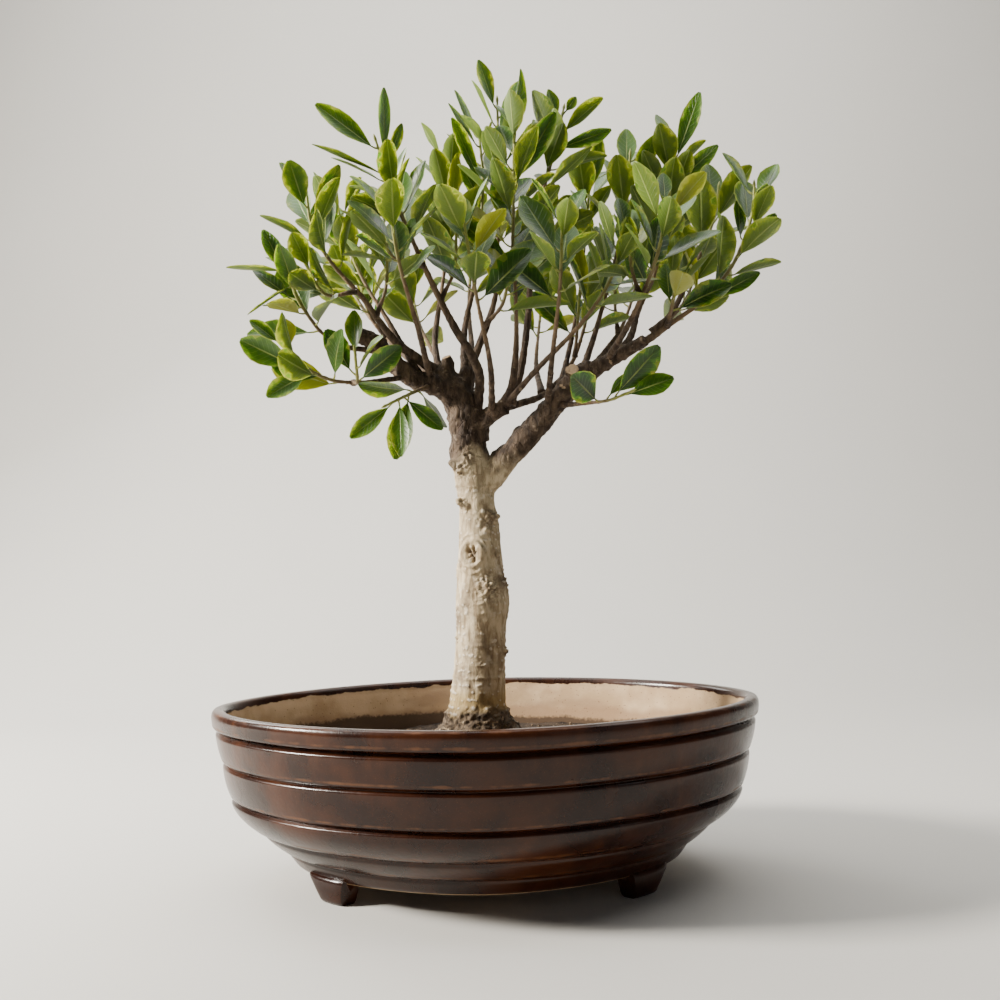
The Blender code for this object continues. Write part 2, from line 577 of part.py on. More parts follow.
def make_wood(shapes, material):
    """Trunk, roots, limbs and twigs united into one solid."""
    trunk = limb_tube(TRUNK, TRUNK_STEP, TRUNK_SIDES)
    wood = write_object("trunk_and_branches", *trunk, material)
    combine(wood, "UNION", [write_object("tool_wood", *shape, material, smooth=False)
                            for shape in root_shapes(0.0)[1:] + shapes])
    return wood


# ---------------------------------------------------------------- green shoots

def leaf_half_width(t):
    """Half width along the blade as a share of the widest: narrow at the stalk, widest past the middle."""
    return math.sin(math.pi * t ** 1.18) ** 0.8 if 0 < t < 1 else 0.0


def blade_section(leaf, t, thickness):
    """Lower middle, right edge, upper middle and left edge of the blade at a share t of its length."""
    axis, normal = leaf["axis"], leaf["normal"]
    across = normal.cross(axis)
    centre = leaf["base"] + (axis * t - normal * (0.5 * leaf["curl"] * t * t)) * leaf["length"]
    up = (normal + axis * (leaf["curl"] * t)).normalized()
    half = max(leaf_half_width(t) * leaf["width"] / 2, PETIOLE_HALF)
    lift = up * (half * leaf["fold"])
    return [centre - up * thickness, centre + across * half + lift, centre + up * thickness,
            centre - across * half + lift]


def leaf_sections(leaf, extra=0.0):
    """The blade's cross-sections and its tip."""
    sections = [blade_section(leaf, t, LEAF_HALF_THICKNESS + extra) for t in LEAF_STATIONS]
    tip = leaf["base"] + (leaf["axis"] - leaf["normal"] * (0.5 * leaf["curl"])) * leaf["length"]
    return sections, tip


def least_twist(start, section):
    """How far to turn a section's corners round so that a stalk drawn from start to it twists least."""
    start_middle, middle = sum(start, Vector()) / 4, sum(section, Vector()) / 4
    return min(range(4), key=lambda turn: sum(
        ((start[a] - start_middle) - (section[(a + turn) % 4] - middle)).length_squared for a in range(4)))


def stalk_probe(face, outward, leaf):
    """The stalk and blade as they are built, started just off the stem, to find a stalk that bends back into it."""
    sections, tip = leaf_sections(leaf)
    turn = least_twist(face, sections[0])
    foot = [corner + outward * 0.06 for corner in face]
    rings = [foot] + [section[turn:] + section[:turn] for section in sections]
    verts, faces = stack_rings(rings)
    return verts + [tip], faces


def stalk_folds(face, leaf):
    """Whether a side of the stalk would turn inside out on its way from the stem to the blade."""
    section = leaf_sections(leaf)[0][0]
    turn = least_twist(face, section)
    ends = section[turn:] + section[:turn]
    middle = (sum(face, Vector()) + sum(ends, Vector())) / 8
    for a in range(4):
        b = (a + 1) % 4
        side = (face[a], face[b], ends[b], ends[a])
        for i in range(4):
            normal = (side[(i + 1) % 4] - side[i]).cross(side[i - 1] - side[i])
            if normal.normalized().dot((side[i] - middle).normalized()) < FOLD_LIMIT:
                return True
    return False


def leaf_probe(leaf, stalk_start):
    """Slightly swollen leaf and stalk used to find clashes."""
    sections, tip = leaf_sections(leaf, LEAF_CLEARANCE)
    swollen = []
    for section in sections:
        middle = sum(section, Vector()) / 4
        swollen.append([p + (p - middle).normalized() * LEAF_CLEARANCE for p in section])
    foot = [stalk_start + (p - leaf["base"]) for p in swollen[0]]
    verts = foot + [p for section in swollen for p in section]
    verts.append(tip + leaf["axis"] * LEAF_CLEARANCE)
    faces = [[3, 2, 1, 0]]
    for level in range(len(swollen)):
        low = 4 * level
        for i in range(4):
            j = (i + 1) % 4
            faces.append([low + i, low + j, low + 4 + j, low + 4 + i])
    top = 4 * len(swollen)
    for i in range(4):
        faces.append([top + i, top + (i + 1) % 4, len(verts) - 1])
    return verts, faces


def inside_crown(point):
    """Whether a leaf's tip stays within the reach of the crown."""
    return all(low <= value <= high for value, (low, high) in zip(point, CROWN_REACH))


class Space:
    """Solids placed so far, for clash tests."""

    def __init__(self):
        self.entries = []

    def add(self, verts, faces):
        lows = [min(v[k] for v in verts) for k in range(3)]
        highs = [max(v[k] for v in verts) for k in range(3)]
        self.entries.append((lows, highs, BVHTree.FromPolygons(verts, faces)))

    def clashes(self, verts, faces):
        lows = [min(v[k] for v in verts) for k in range(3)]
        highs = [max(v[k] for v in verts) for k in range(3)]
        probe = None
        for other_lows, other_highs, tree in self.entries:
            if any(lows[k] > other_highs[k] or highs[k] < other_lows[k] for k in range(3)):
                continue
            probe = probe or BVHTree.FromPolygons(verts, faces)
            if probe.overlap(tree):
                return True
        return False


def plan_stem(twig, number):
    """Points, directions and leaf places of a green stem, with the outline leaves given to their places."""
    path = twig["green"]
    total = path_length(path)
    count = twig["leaves"]
    spacing = (total - 3.0) / count
    marks = [0.0]
    for i in range(count):
        at = spacing * (i + 0.75)
        marks += [at - NODE_LENGTH / 2, at + NODE_LENGTH / 2]
    marks.append(total)
    points = [point_at(path, mark) for mark in marks]
    axes = frames(points)
    chosen = {}
    for row in OUTLINE_LEAVES:
        if row[0] == number:
            free = [i for i in range(count) if i not in chosen]
            if free:
                stalk = Vector(row[1])
                chosen[min(free, key=lambda i: (points[2 * i + 1] - stalk).length)] = row
    rings, sides, turned = [], [], None
    for index in range(len(marks)):
        place = min(count - 1, max(0, (index - 1) // 2))
        direction, side, up = axes[index]
        bearing = SHOOT_TURN * (number % 5) + LEAF_TURN * place
        if place in chosen:
            reach = Vector(chosen[place][2]) - points[index]
            bearing = math.atan2(reach.dot(up), reach.dot(side))
        if index in (0, len(marks) - 1) and turned is not None:
            start, face = turned, 0
        elif index % 2 == 0 and index > 0:
            start, face = turned, sides[-1]
        else:
            options = []
            for face in range(3):
                start = bearing - math.radians(120 * face + 60)
                twist = 0.0 if turned is None else math.remainder(start - turned, 2 * math.pi)
                options.append((abs(twist), face, start if turned is None else turned + twist))
            _, face, start = min(options)
        turned = start
        sides.append(face)
        share = marks[index] / total
        radius = twig["tip"] * 0.95 * (1 - share) + STEM_TIP_RADIUS * share
        rings.append([points[index] + (side * math.cos(start + math.radians(120) * j)
                                       + up * math.sin(start + math.radians(120) * j)) * radius
                      for j in range(3)])
    faces = [sides[2 * i + 1] for i in range(count)]
    return {"rings": rings, "axes": axes, "points": points, "faces": faces, "chosen": chosen}


def rule_leaf(twig, rng, attempt, middle, outward, direction, share):
    """A leaf by the rule of the species: leaning out from the stem, turned up to the light."""
    wander = math.radians(LEAF_WANDER[0] + LEAF_WANDER[1] * attempt)
    turn = Quaternion(direction, rng.uniform(-wander, wander) * 1.6)
    lean = math.radians(LEAF_LEAN[0] - LEAF_LEAN[1] * share) + rng.uniform(-wander, wander)
    out = turn @ outward
    axis = (direction * math.cos(lean) + out * math.sin(lean)).normalized()
    axis = (axis + Vector((0, 0, LIGHT_PULL - twig["droop"]))).normalized()
    if axis.z < 0 and twig["droop"] < 0.5:
        axis.z *= -0.6
        axis.normalize()
    normal = (direction - axis * direction.dot(axis)).normalized()
    normal = Quaternion(axis, rng.uniform(-0.5, 0.5)) @ normal
    size = rng.uniform(*LEAF_LENGTH) * (1.0 - 0.75 * max(0.0, share - 0.6)) * (1.0 - 0.012 * attempt)
    base = middle + (axis * 0.75 + outward * 0.35).normalized() * rng.uniform(*PETIOLE_LENGTH)
    return {"base": base, "axis": axis, "normal": normal, "length": size,
            "width": size * rng.uniform(*LEAF_WIDTH_SHARE), "fold": rng.uniform(0.12, 0.42),
            "curl": rng.uniform(-0.05, 0.38)}


def outline_leaf(row, rng, attempt, middle, outward):
    """A leaf whose tip, width and turn are given."""
    wander = 0.9 * attempt
    tip = Vector(row[2]) + Vector([rng.uniform(-wander, wander) for _ in range(3)])
    base = middle + ((tip - middle).normalized() * 0.7 + outward * 0.4).normalized() * PETIOLE_LENGTH[0]
    axis = (tip - base).normalized()
    front = Vector((0.0, -1.0, 0.25))
    normal = (front - axis * front.dot(axis)).normalized()
    normal = Quaternion(axis, math.radians(row[4]) + rng.uniform(-0.02, 0.02) * attempt) @ normal
    width = row[3] / max(math.cos(math.radians(row[4])), FORESHORTEN_LIMIT)
    return {"base": base, "axis": axis, "normal": normal, "length": (tip - base).length, "width": width,
            "fold": rng.uniform(0.10, 0.30), "curl": rng.uniform(0.0, 0.16)}


def plan_shoots(twigs, shapes):
    """Choose every leaf so that it clears the wood, the stems and the leaves chosen before it."""
    space = Space()
    for verts, faces in shapes + [limb_tube(TRUNK, TRUNK_STEP, TRUNK_SIDES)]:
        space.add(verts, faces)
    stems = [plan_stem(twig, number) for number, twig in enumerate(twigs)]
    for stem in stems:
        space.add(*stack_rings(stem["rings"]))
        stem["space"] = Space()
        stem["space"].add(*stack_rings(stem["rings"]))
    leaves = [{} for _ in twigs]
    for outline in (True, False):
        for number, (twig, stem) in enumerate(zip(twigs, stems)):
            rng = random.Random(4100 + number + 500 * outline)
            for i in range(twig["leaves"]):
                if i in leaves[number] or outline and i not in stem["chosen"]:
                    continue
                low, high, side = stem["rings"][1 + 2 * i], stem["rings"][2 + 2 * i], stem["faces"][i]
                face = [low[side], low[(side + 1) % 3], high[(side + 1) % 3], high[side]]
                middle = sum(face, Vector()) / 4
                outward = (face[1] - face[0]).cross(face[3] - face[0]).normalized()
                for attempt in range(LEAF_TRIES):
                    if outline:
                        leaf = outline_leaf(stem["chosen"][i], rng, attempt, middle, outward)
                    else:
                        leaf = rule_leaf(twig, rng, attempt, middle, outward, stem["axes"][1 + 2 * i][0],
                                         (i + 0.5) / twig["leaves"])
                    probe = leaf_probe(leaf, middle + (leaf["base"] - middle) * 0.35)
                    if not inside_crown(probe[0][-1]) or stalk_folds(face, leaf):
                        continue
                    if stem["space"].clashes(*stalk_probe(face, outward, leaf)):
                        continue
                    if not space.clashes(*probe):
                        space.add(*probe)
                        leaves[number][i] = leaf
                        break
    return [{"rings": stem["rings"], "faces": stem["faces"], "leaves": own,
             "end": stem["points"][-1] + stem["axes"][-1][0] * BUD_LENGTH} for stem, own in zip(stems, leaves)]


def make_shoot(name, shoot, material):
    """One green shoot: stem, pointed bud and every leaf drawn out of a side of the stem."""
    rings, leaves = shoot["rings"], shoot["leaves"]
    verts = [v for ring in rings for v in ring]
    faces = [[2, 1, 0]]
    for level in range(len(rings) - 1):
        low = level * 3
        index = (level - 1) // 2
        for j in range(3):
            k = (j + 1) % 3
            quad = [low + j, low + k, low + 3 + k, low + 3 + j]
            if level % 2 == 1 and index in leaves and j == shoot["faces"][index]:
                previous = quad
                sections, tip = leaf_sections(leaves[index])
                turn = least_twist([verts[corner] for corner in quad], sections[0])
                for section in sections:
                    current = list(range(len(verts), len(verts) + 4))
                    verts += section[turn:] + section[:turn]
                    for a in range(4):
                        b = (a + 1) % 4
                        faces.append([previous[a], previous[b], current[b], current[a]])
                    previous = current
                verts.append(tip)
                for a in range(4):
                    faces.append([previous[a], previous[(a + 1) % 4], len(verts) - 1])
            else:
                faces.append(quad)
    last = 3 * (len(rings) - 1)
    verts.append(shoot["end"])
    for j in range(3):
        faces.append([last + j, last + (j + 1) % 3, len(verts) - 1])
    return write_object(name, verts, faces, material, smooth=False)


def main():
    clear_scene()
    glaze = make_material("brown_glaze", (0.085, 0.030, 0.018), 0.28)
    earth = make_material("dark_soil", (0.050, 0.036, 0.026), 0.95)
    bark = make_material("grey_bark", (0.40, 0.34, 0.27), 0.85)
    leaf = make_material("green_leaf", (0.11, 0.20, 0.035), 0.42)
    plastic = make_material("black_plastic", (0.02, 0.02, 0.02), 0.6)
    make_pot(glaze)
    make_screens(plastic)
    make_soil(earth)
    twigs = plan_twigs()
    shapes = wood_shapes(twigs)
    make_wood(shapes, bark)
    for number, shoot in enumerate(plan_shoots(twigs, shapes), start=1):
        make_shoot(f"leafy_shoot_{number:02d}", shoot, leaf)


main()
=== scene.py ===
import math
import random

import bmesh
import bpy
import numpy as np
from mathutils import Matrix, Quaternion, Vector
from mathutils.bvhtree import BVHTree


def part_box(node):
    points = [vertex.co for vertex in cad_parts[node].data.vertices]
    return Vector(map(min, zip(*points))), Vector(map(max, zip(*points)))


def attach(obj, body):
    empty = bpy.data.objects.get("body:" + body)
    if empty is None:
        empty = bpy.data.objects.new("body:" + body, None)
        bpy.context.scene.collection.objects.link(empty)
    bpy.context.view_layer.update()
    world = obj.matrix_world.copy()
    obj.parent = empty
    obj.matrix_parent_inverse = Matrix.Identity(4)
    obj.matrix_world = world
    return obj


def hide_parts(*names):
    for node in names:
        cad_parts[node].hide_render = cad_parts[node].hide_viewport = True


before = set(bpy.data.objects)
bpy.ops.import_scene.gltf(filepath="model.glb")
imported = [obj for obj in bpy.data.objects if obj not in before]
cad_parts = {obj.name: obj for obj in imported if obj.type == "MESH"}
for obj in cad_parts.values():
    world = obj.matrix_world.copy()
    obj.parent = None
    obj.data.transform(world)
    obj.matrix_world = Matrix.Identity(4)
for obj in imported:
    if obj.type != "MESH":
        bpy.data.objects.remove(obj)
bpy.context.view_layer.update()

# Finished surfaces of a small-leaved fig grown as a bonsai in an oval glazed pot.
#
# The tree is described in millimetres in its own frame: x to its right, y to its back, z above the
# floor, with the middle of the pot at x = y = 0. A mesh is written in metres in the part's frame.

METRES = 0.001
POT_LOW, POT_HIGH = (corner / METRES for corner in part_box("pot"))
SCREEN_LOW, SCREEN_HIGH = (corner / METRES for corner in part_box("drain_screen_2"))
SHIFT = np.array([round((POT_LOW.x + POT_HIGH.x) / 2, 3), round((POT_LOW.y + POT_HIGH.y) / 2, 3), 0.0])

# Camera, in the part's frame: place in metres, turns in degrees, lens and sensor in millimetres
CAMERA_PLACE = (0.0069, -0.700, 0.1976)
CAMERA_PITCH = 93.41
CAMERA_ROLL = -1.5
CAMERA_LENS = 38.7
SENSOR_WIDTH = 36.0
CAMERA_CLIP = (0.01, 20.0)

# Pot
POT_HALF_LENGTH = (POT_HIGH.x - POT_LOW.x) / 2
POT_HALF_WIDTH = (POT_HIGH.y - POT_LOW.y) / 2
OVAL_POWER = 1.78              # 2 is an ellipse; less draws the ends to a blunt point
WIDTH_INSET_SHARE = 0.9        # how much of an inset the short axis takes
POT_SIDES = 256
FOOT_HEIGHT = 12.5
FLOOR_THICKNESS = 8.0
# grooves of the outer wall: height, depth, width
GROOVES = ((98.0, 3.6, 1.25), (78.0, 2.2, 1.05), (55.0, 2.2, 1.05), (35.0, 1.5, 1.2), (22.0, 1.3, 1.0))
# edges between the courses of the outer wall: height, inset; then how far each course swells out
COURSE_EDGES = ((98.0, 2.6), (78.0, 7.0), (55.0, 13.0), (35.0, 30.5), (22.0, 46.0))
COURSE_SWELL = (1.3, 1.8, 5.0, 1.7)
RIM_BAND = ((98.6, 2.4), (99.3, 1.3), (100.4, 0.8), (103.0, 0.3), (105.5, 0.0))
BASE_INSET = 53.0
LIP_WIDTH = 9.5
LIP_RISE = 5.5
INNER_WALL = ((105.5, 9.6), (100.0, 11.0), (84.0, 14.3), (66.0, 18.5),
              (50.0, 26.0), (36.0, 39.5), (25.0, 54.0), (20.5, 62.0))
GLAZE_LINE = 107.0             # the glaze runs this far down inside the lip
FOOT_TOP = (28.0, 45.0)        # degrees of the oval that a foot covers at its top and at its sole
FOOT_SOLE = (35.0, 44.0)
FOOT_INSET = 47.0
FOOT_THICKNESS = 15.0
DRAIN_OFFSET = 58.0
DRAIN_RADIUS = 9.0
BARE_CLAY = 20.0               # mark of clay well away from the glaze; less 20 is well inside the glaze
CUT_PAST = 4.0                 # how far a hole's cutter runs out of the floor on either side

# Drain screens
SCREEN_BARS = 12               # each way
SCREEN_BAR_HALF = 0.6

# Soil
SOIL_AT_WALL = 78.0
SOIL_MOUND = 8.0
SOIL_SIDES = 220
SOIL_RINGS = 84
SCREEN_ROOM = (20.0, 2.4)      # half width and height of the space that the soil leaves over a screen
GAP = 0.3
CRUMBS = 900
FIBRES = 90
LITTER_SEED = 77

# Tree
SHOOT_GAP = 0.8                # from the cut end of a twig to the foot of its green shoot
LEAF_TURN = math.radians(137.5)    # from one leaf to the next around a shoot
CRUST_TOP = 107.0              # dry soil and fine roots cling to the trunk up to here
BARK_TURNS_DARK = (238.0, 300.0)

# x, y, z, radius down the middle of the trunk and the left limb it runs into
TRUNK = (
    (-5, 1, 53, 15), (-5, 1, 66, 23), (-5, 0, 80, 27), (-5, 0, 88, 26), (-5, 0, 96, 21.5),
    (-5, 0, 106, 18.2), (-4, 0, 120, 16.8), (-3, 1, 139, 16.2), (-2, 2, 157, 16.6), (0, 2, 175, 17.6),
    (-1, 3, 190, 15.6), (-1, 4, 204, 14.4), (-1, 5, 220, 13.2), (-2, 5, 237, 11.4), (-4, 6, 255, 12.6),
    (-7, 6, 271, 12.0), (-8, 6, 286, 10.8), (-11, 5, 303, 11.0), (-18, 2, 316, 9.2), (-27, 0, 326, 6.5),
)
ROOTS = (
    ((-17, -8, 92, 9), (-28, -14, 84, 7), (-38, -19, 75, 4)),
    ((-8, -14, 92, 9), (-6, -27, 85, 7), (-1, -37, 75, 4)),
    ((8, -8, 92, 9), (19, -14, 84, 7.5), (31, -22, 74, 4.5)),
    ((6, 10, 92, 9), (16, 20, 84, 7), (24, 30, 74, 4)),
    ((-13, 12, 92, 9), (-22, 21, 84, 7), (-31, 30, 74, 4)),
)
LIMBS = (
    ((-1, 6, 245, 8), (7, 5, 255, 9.2), (14, 4, 263, 8.8), (24, 0, 273, 8), (36, -4, 285, 7.8),
     (48, -8, 298, 7.6), (60, -12, 310, 8), (69, -14, 317, 8.6), (75, -15, 322, 6.5)),
    ((-10, 5, 302, 8), (-24, -2, 314, 7.4), (-36, -5, 318, 6.8), (-45, -8, 322, 6.2), (-56, -12, 333, 5.4),
     (-67, -18, 343, 5.0), (-79, -22, 347, 4.2)),
    ((-1, 6, 281, 8), (2, 4, 290, 6.8), (10, -1, 296, 5.6), (19, -5, 299, 4.4)),
    ((-12, 4, 308, 7), (-8, 4, 318, 6), (-6, 4, 328, 4.4)),
    ((70, -14, 317, 6), (80, -17, 323, 5.0), (92, -22, 329, 4.2), (107, -29, 336, 3.6)),
    ((56, -10, 306, 6), (62, -2, 314, 5.6), (70, 6, 321, 4.6)),
)
# short stubs and knots: from, to, radius at each end
STUBS = (
    ((-11, 0, 259), (-21, -3, 267), 4.6, 3.4),
    ((-9, -2, 236), (-16, -5, 239), 4.2, 2.6),
    ((5, -2, 228), (12, -4, 227), 4.4, 2.8),
    ((8, -2, 142), (17, -5, 141), 4.6, 2.2),
    ((3, -10, 183), (5, -18, 184), 6.0, 3.8),
    ((-4, -8, 204), (-7, -14, 205), 6.4, 4.4),
    ((50, -8, 298), (56, -17, 310), 4.4, 3.6),
    ((64, -13, 314), (61, -24, 320), 5.0, 4.4),
    ((-16, 2, 318), (-20, -4, 334), 4.6, 3.8),
    ((74, -15, 321), (86, -22, 325), 4.6, 3.4),
)
# twigs: route, radius at the start and at the tip, leafy length at the end, leaves on it, their droop
TWIGS = (
    (((64, -12, 314), (100, -25, 331), (126, -38, 347), (142, -45, 357), (158, -50, 375), (166, -53, 391),
      (172, -55, 409), (173, -56, 423)), 3.6, 1.3, 84, 14, 0.0),
    (((111, -31, 340), (121, -35, 348), (140, -30, 382), (153, -25, 411), (159, -20, 436)),
     2.3, 1.2, 60, 10, 0.0),
    (((90, -20, 328), (99, -15, 340), (108, -4, 364), (119, 8, 385), (127, 12, 413), (133, 16, 438),
      (137, 16, 465), (139, 14, 479)), 2.8, 1.2, 112, 18, 0.0),
    (((50, -9, 299), (64, -28, 297), (80, -52, 295), (92, -64, 298)), 2.0, 1.1, 32, 4, 0.3),
    (((-27, 0, 325), (-53, -20, 343), (-66, -32, 362), (-77, -38, 374), (-92, -45, 393), (-99, -50, 410),
      (-101, -52, 428)), 3.4, 1.2, 56, 10, 0.0),
    (((-43, -8, 321), (-66, -30, 314), (-82, -50, 311), (-95, -62, 314), (-108, -70, 323),
      (-114, -73, 335)),
     2.0, 1.1, 54, 9, 0.0),
    (((-2, 5, 296), (2, -8, 318), (-4, -18, 334), (-13, -25, 348), (-24, -32, 370), (-33, -40, 390),
      (-44, -48, 416), (-50, -52, 434), (-57, -58, 457)), 3.6, 1.4, 66, 12, 0.0),
    (((13, -3, 297), (22, -10, 311), (26, -20, 340), (26, -30, 374), (25, -36, 396), (26, -38, 418),
      (27, -37, 448), (29, -35, 478)), 3.2, 1.2, 124, 20, 0.0),
    (((-7, 4, 322), (2, 12, 345), (14, 12, 379), (16, 8, 414), (18, 4, 445), (18, 2, 474), (18, 0, 505)),
     3.2, 1.2, 104, 16, 0.0),
    (((15, -3, 299), (35, 5, 305), (46, 18, 312), (60, 30, 327), (68, 38, 341), (74, 43, 358),
      (80, 46, 381), (84, 46, 405)), 2.6, 1.2, 54, 9, 0.0),
    (((19, -6, 302), (40, -30, 321), (57, -45, 335), (70, -55, 348), (82, -62, 365), (90, -66, 386)),
     2.2, 1.1, 48, 9, 0.1),
    (((21, -6, 301), (29, -4, 325), (35, -6, 364), (38, -10, 404), (44, -10, 433), (54, -6, 466),
      (62, 0, 499)),
     2.8, 1.3, 66, 12, 0.0),
    (((-8, 4, 324), (-8, 14, 355), (0, 18, 390), (4, 19, 424), (7, 17, 458), (5, 14, 491)),
     2.8, 1.2, 96, 15, 0.0),
    (((66, 2, 317), (76, 18, 340), (88, 30, 376), (99, 34, 413), (106, 31, 444), (109, 28, 477)),
     2.6, 1.2, 90, 15, 0.0),
    (((56, 20, 318), (64, 42, 346), (72, 47, 381), (77, 50, 418), (81, 46, 453), (83, 40, 475)),
     2.2, 1.1, 76, 12, 0.0),
    (((-59, -14, 336), (-77, -24, 337), (-91, -32, 340), (-102, -45, 353), (-109, -52, 366),
      (-113, -57, 383)),
     2.2, 1.1, 50, 10, 0.2),
    (((-20, 1, 318), (-45, 26, 337), (-71, 48, 367), (-90, 58, 398), (-98, 60, 423)),
     2.6, 1.1, 60, 10, 0.0),
    (((-36, -5, 319), (-49, -5, 343), (-61, -3, 365), (-74, -1, 388), (-86, 0, 418), (-90, 0, 441)),
     2.6, 1.2, 74, 12, 0.0),
    (((-24, 1, 322), (-28, 12, 347), (-24, 20, 378), (-19, 25, 413), (-16, 26, 448), (-18, 23, 478)),
     2.6, 1.2, 86, 14, 0.0),
    (((-6, 6, 324), (-4, 38, 347), (-6, 66, 382), (-4, 80, 419), (-2, 84, 448)), 2.8, 1.2, 62, 12, 0.0),
    (((68, 2, 319), (84, 30, 337), (104, 60, 366), (117, 78, 402), (121, 84, 432)), 2.6, 1.1, 60, 10, 0.0),
    (((96, -23, 331), (121, 8, 350), (145, 34, 377), (158, 46, 410)), 2.4, 1.1, 56, 10, 0.0),
    (((-14, 5, 318), (-28, 46, 341), (-43, 82, 376), (-51, 98, 415)), 2.6, 1.1, 58, 10, 0.0),
    (((43, 16, 311), (41, 54, 337), (45, 86, 371), (51, 102, 412)), 2.4, 1.1, 60, 10, 0.0),
    (((9, -2, 296), (9, -36, 322), (2, -72, 357), (-4, -92, 397)), 2.4, 1.1, 54, 9, 0.1),
    (((45, -7, 296), (47, -48, 322), (51, -80, 357), (53, -96, 396)), 2.4, 1.1, 54, 9, 0.1),
    (((-30, -3, 318), (-35, -42, 344), (-43, -76, 377), (-47, -92, 410)), 2.4, 1.1, 52, 9, 0.0),
    (((84, -20, 326), (96, -56, 345), (108, -82, 374), (115, -90, 406)), 2.4, 1.1, 52, 9, 0.0),
    (((-28, -3, 316), (-36, -20, 310), (-44, -34, 304), (-55, -44, 297)), 1.9, 1.1, 34, 6, 0.7),
)
# side twigs: index of the bearing twig, place along it, turn about it, length, leafy length, leaves
SIDE_TWIGS = (
    (0, 0.40, 60, 46, 34, 7), (4, 0.40, 200, 44, 32, 6), (4, 0.52, 20, 44, 34, 7),
    (5, 0.45, 90, 34, 26, 4), (6, 0.45, 220, 48, 36, 7), (6, 0.57, 40, 44, 34, 6),
    (9, 0.55, 30, 42, 32, 6), (11, 0.50, 250, 44, 34, 6), (16, 0.50, 120, 44, 32, 6),
    (20, 0.45, 30, 44, 32, 6), (24, 0.50, 210, 42, 32, 6), (27, 0.50, 330, 42, 32, 6),
)
SIDE_TWIG_RADII = (1.6, 1.1)
# leaves that shape the outline: index of the twig, where the stalk springs, tip of the leaf,
# how wide it looks from the tree's front and how far its broad side is turned from there, in degrees
OUTLINE_LEAVES = (
    (8, (18, 0, 513), (8, -8, 534), 11, 20),
    (8, (17, 0, 479), (17, -12, 517), 11, 0),
    (7, (27, -34, 480), (27, -30, 514), 8, 40),
    (7, (29, -34, 475), (34, -40, 505), 6, 65),
    (11, (56, -2, 488), (52, -6, 511), 9, 20),
    (11, (63, 0, 495), (70, -10, 503), 6, 30),
    (7, (31, -38, 437), (54, -50, 477), 14, 15),
    (12, (14, 16, 458), (-11, -10, 488), 13, 25),
    (12, (2, 14, 492), (-10, 10, 520), 7, 50),
    (12, (-1, 14, 489), (-15, 0, 506), 7, 40),
    (6, (-60, -56, 453), (-92, -70, 478), 14, 5),
    (6, (-53, -56, 452), (-46, -50, 494), 7, 35),
    (6, (-56, -54, 436), (-94, -75, 451), 5, 70),
    (6, (-52, -56, 446), (-41, -50, 472), 6, 40),
    (4, (-99, -52, 417), (-110, -62, 446), 16, 0),
    (4, (-97, -50, 415), (-79, -60, 443), 10, 30),
    (17, (-82, 0, 399), (-92, -20, 427), 15, 5),
    (15, (-112, -58, 384), (-146, -72, 379), 5, 75),
    (15, (-107, -52, 367), (-115, -70, 391), 13, 0),
    (15, (-112, -55, 369), (-136, -70, 350), 5, 70),
    (15, (-107, -50, 355), (-127, -62, 357), 7, 55),
    (5, (-112, -70, 331), (-126, -80, 350), 9, 20),
    (5, (-109, -70, 326), (-113, -78, 345), 12, 0),
    (15, (-113, -58, 384), (-129, -50, 408), 11, 10),
    (5, (-101, -65, 311), (-122, -78, 299), 14, 0),
    (28, (-61, -46, 297), (-79, -52, 277), 12, 0),
    (28, (-40, -40, 293), (-47, -46, 264), 12, 10),
    (28, (-45, -36, 298), (-21, -34, 282), 11, 5),
    (3, (93, -65, 298), (109, -72, 301), 14, 0),
    (3, (82, -50, 296), (92, -52, 311), 6, 30),
    (0, (162, -54, 385), (189, -58, 412), 11, 15),
    (0, (160, -55, 391), (170, -52, 426), 9, 30),
    (0, (171, -56, 408), (174, -60, 428), 7, 30),
    (0, (148, -50, 356), (167, -56, 363), 10, 10),
    (2, (144, 16, 448), (163, -6, 470), 11, 20),
    (2, (140, 15, 468), (143, 12, 502), 13, 10),
    (2, (136, 16, 474), (128, 22, 505), 10, 25),
    (1, (154, -22, 422), (155, -12, 456), 16, 10),
    (13, (112, 28, 452), (125, 10, 485), 12, 25),
    (13, (107, 28, 468), (106, 30, 501), 14, 15),
    (14, (80, 44, 459), (89, 34, 491), 11, 20),
    (11, (60, -5, 470), (92, -20, 476), 5, 70),
    (7, (22, -36, 381), (-5, -50, 409), 18, 5),
    (18, (-33, 24, 438), (-9, 0, 471), 9, 30),
    (12, (3, 18, 441), (-7, 0, 463), 11, 15),
    (9, (58, 30, 378), (69, 20, 422), 11, 30),
    (7, (27, -34, 369), (58, -60, 392), 13, 20),
    (2, (109, 0, 369), (92, -25, 400), 17, 5),
    (2, (116, 5, 370), (83, -30, 359), 8, 40),
    (13, (110, 30, 453), (98, 40, 487), 10, 30),
)

# spacing of the rings along each kind of wood
TRUNK_STEP = 12.0
LIMB_STEP = 10.0
STUB_STEP = 6.0
ROUTE_STEP = 4.0
TWIG_STEP = 16.0
GREEN_STEPS = 12
TRUNK_SIDES = 14

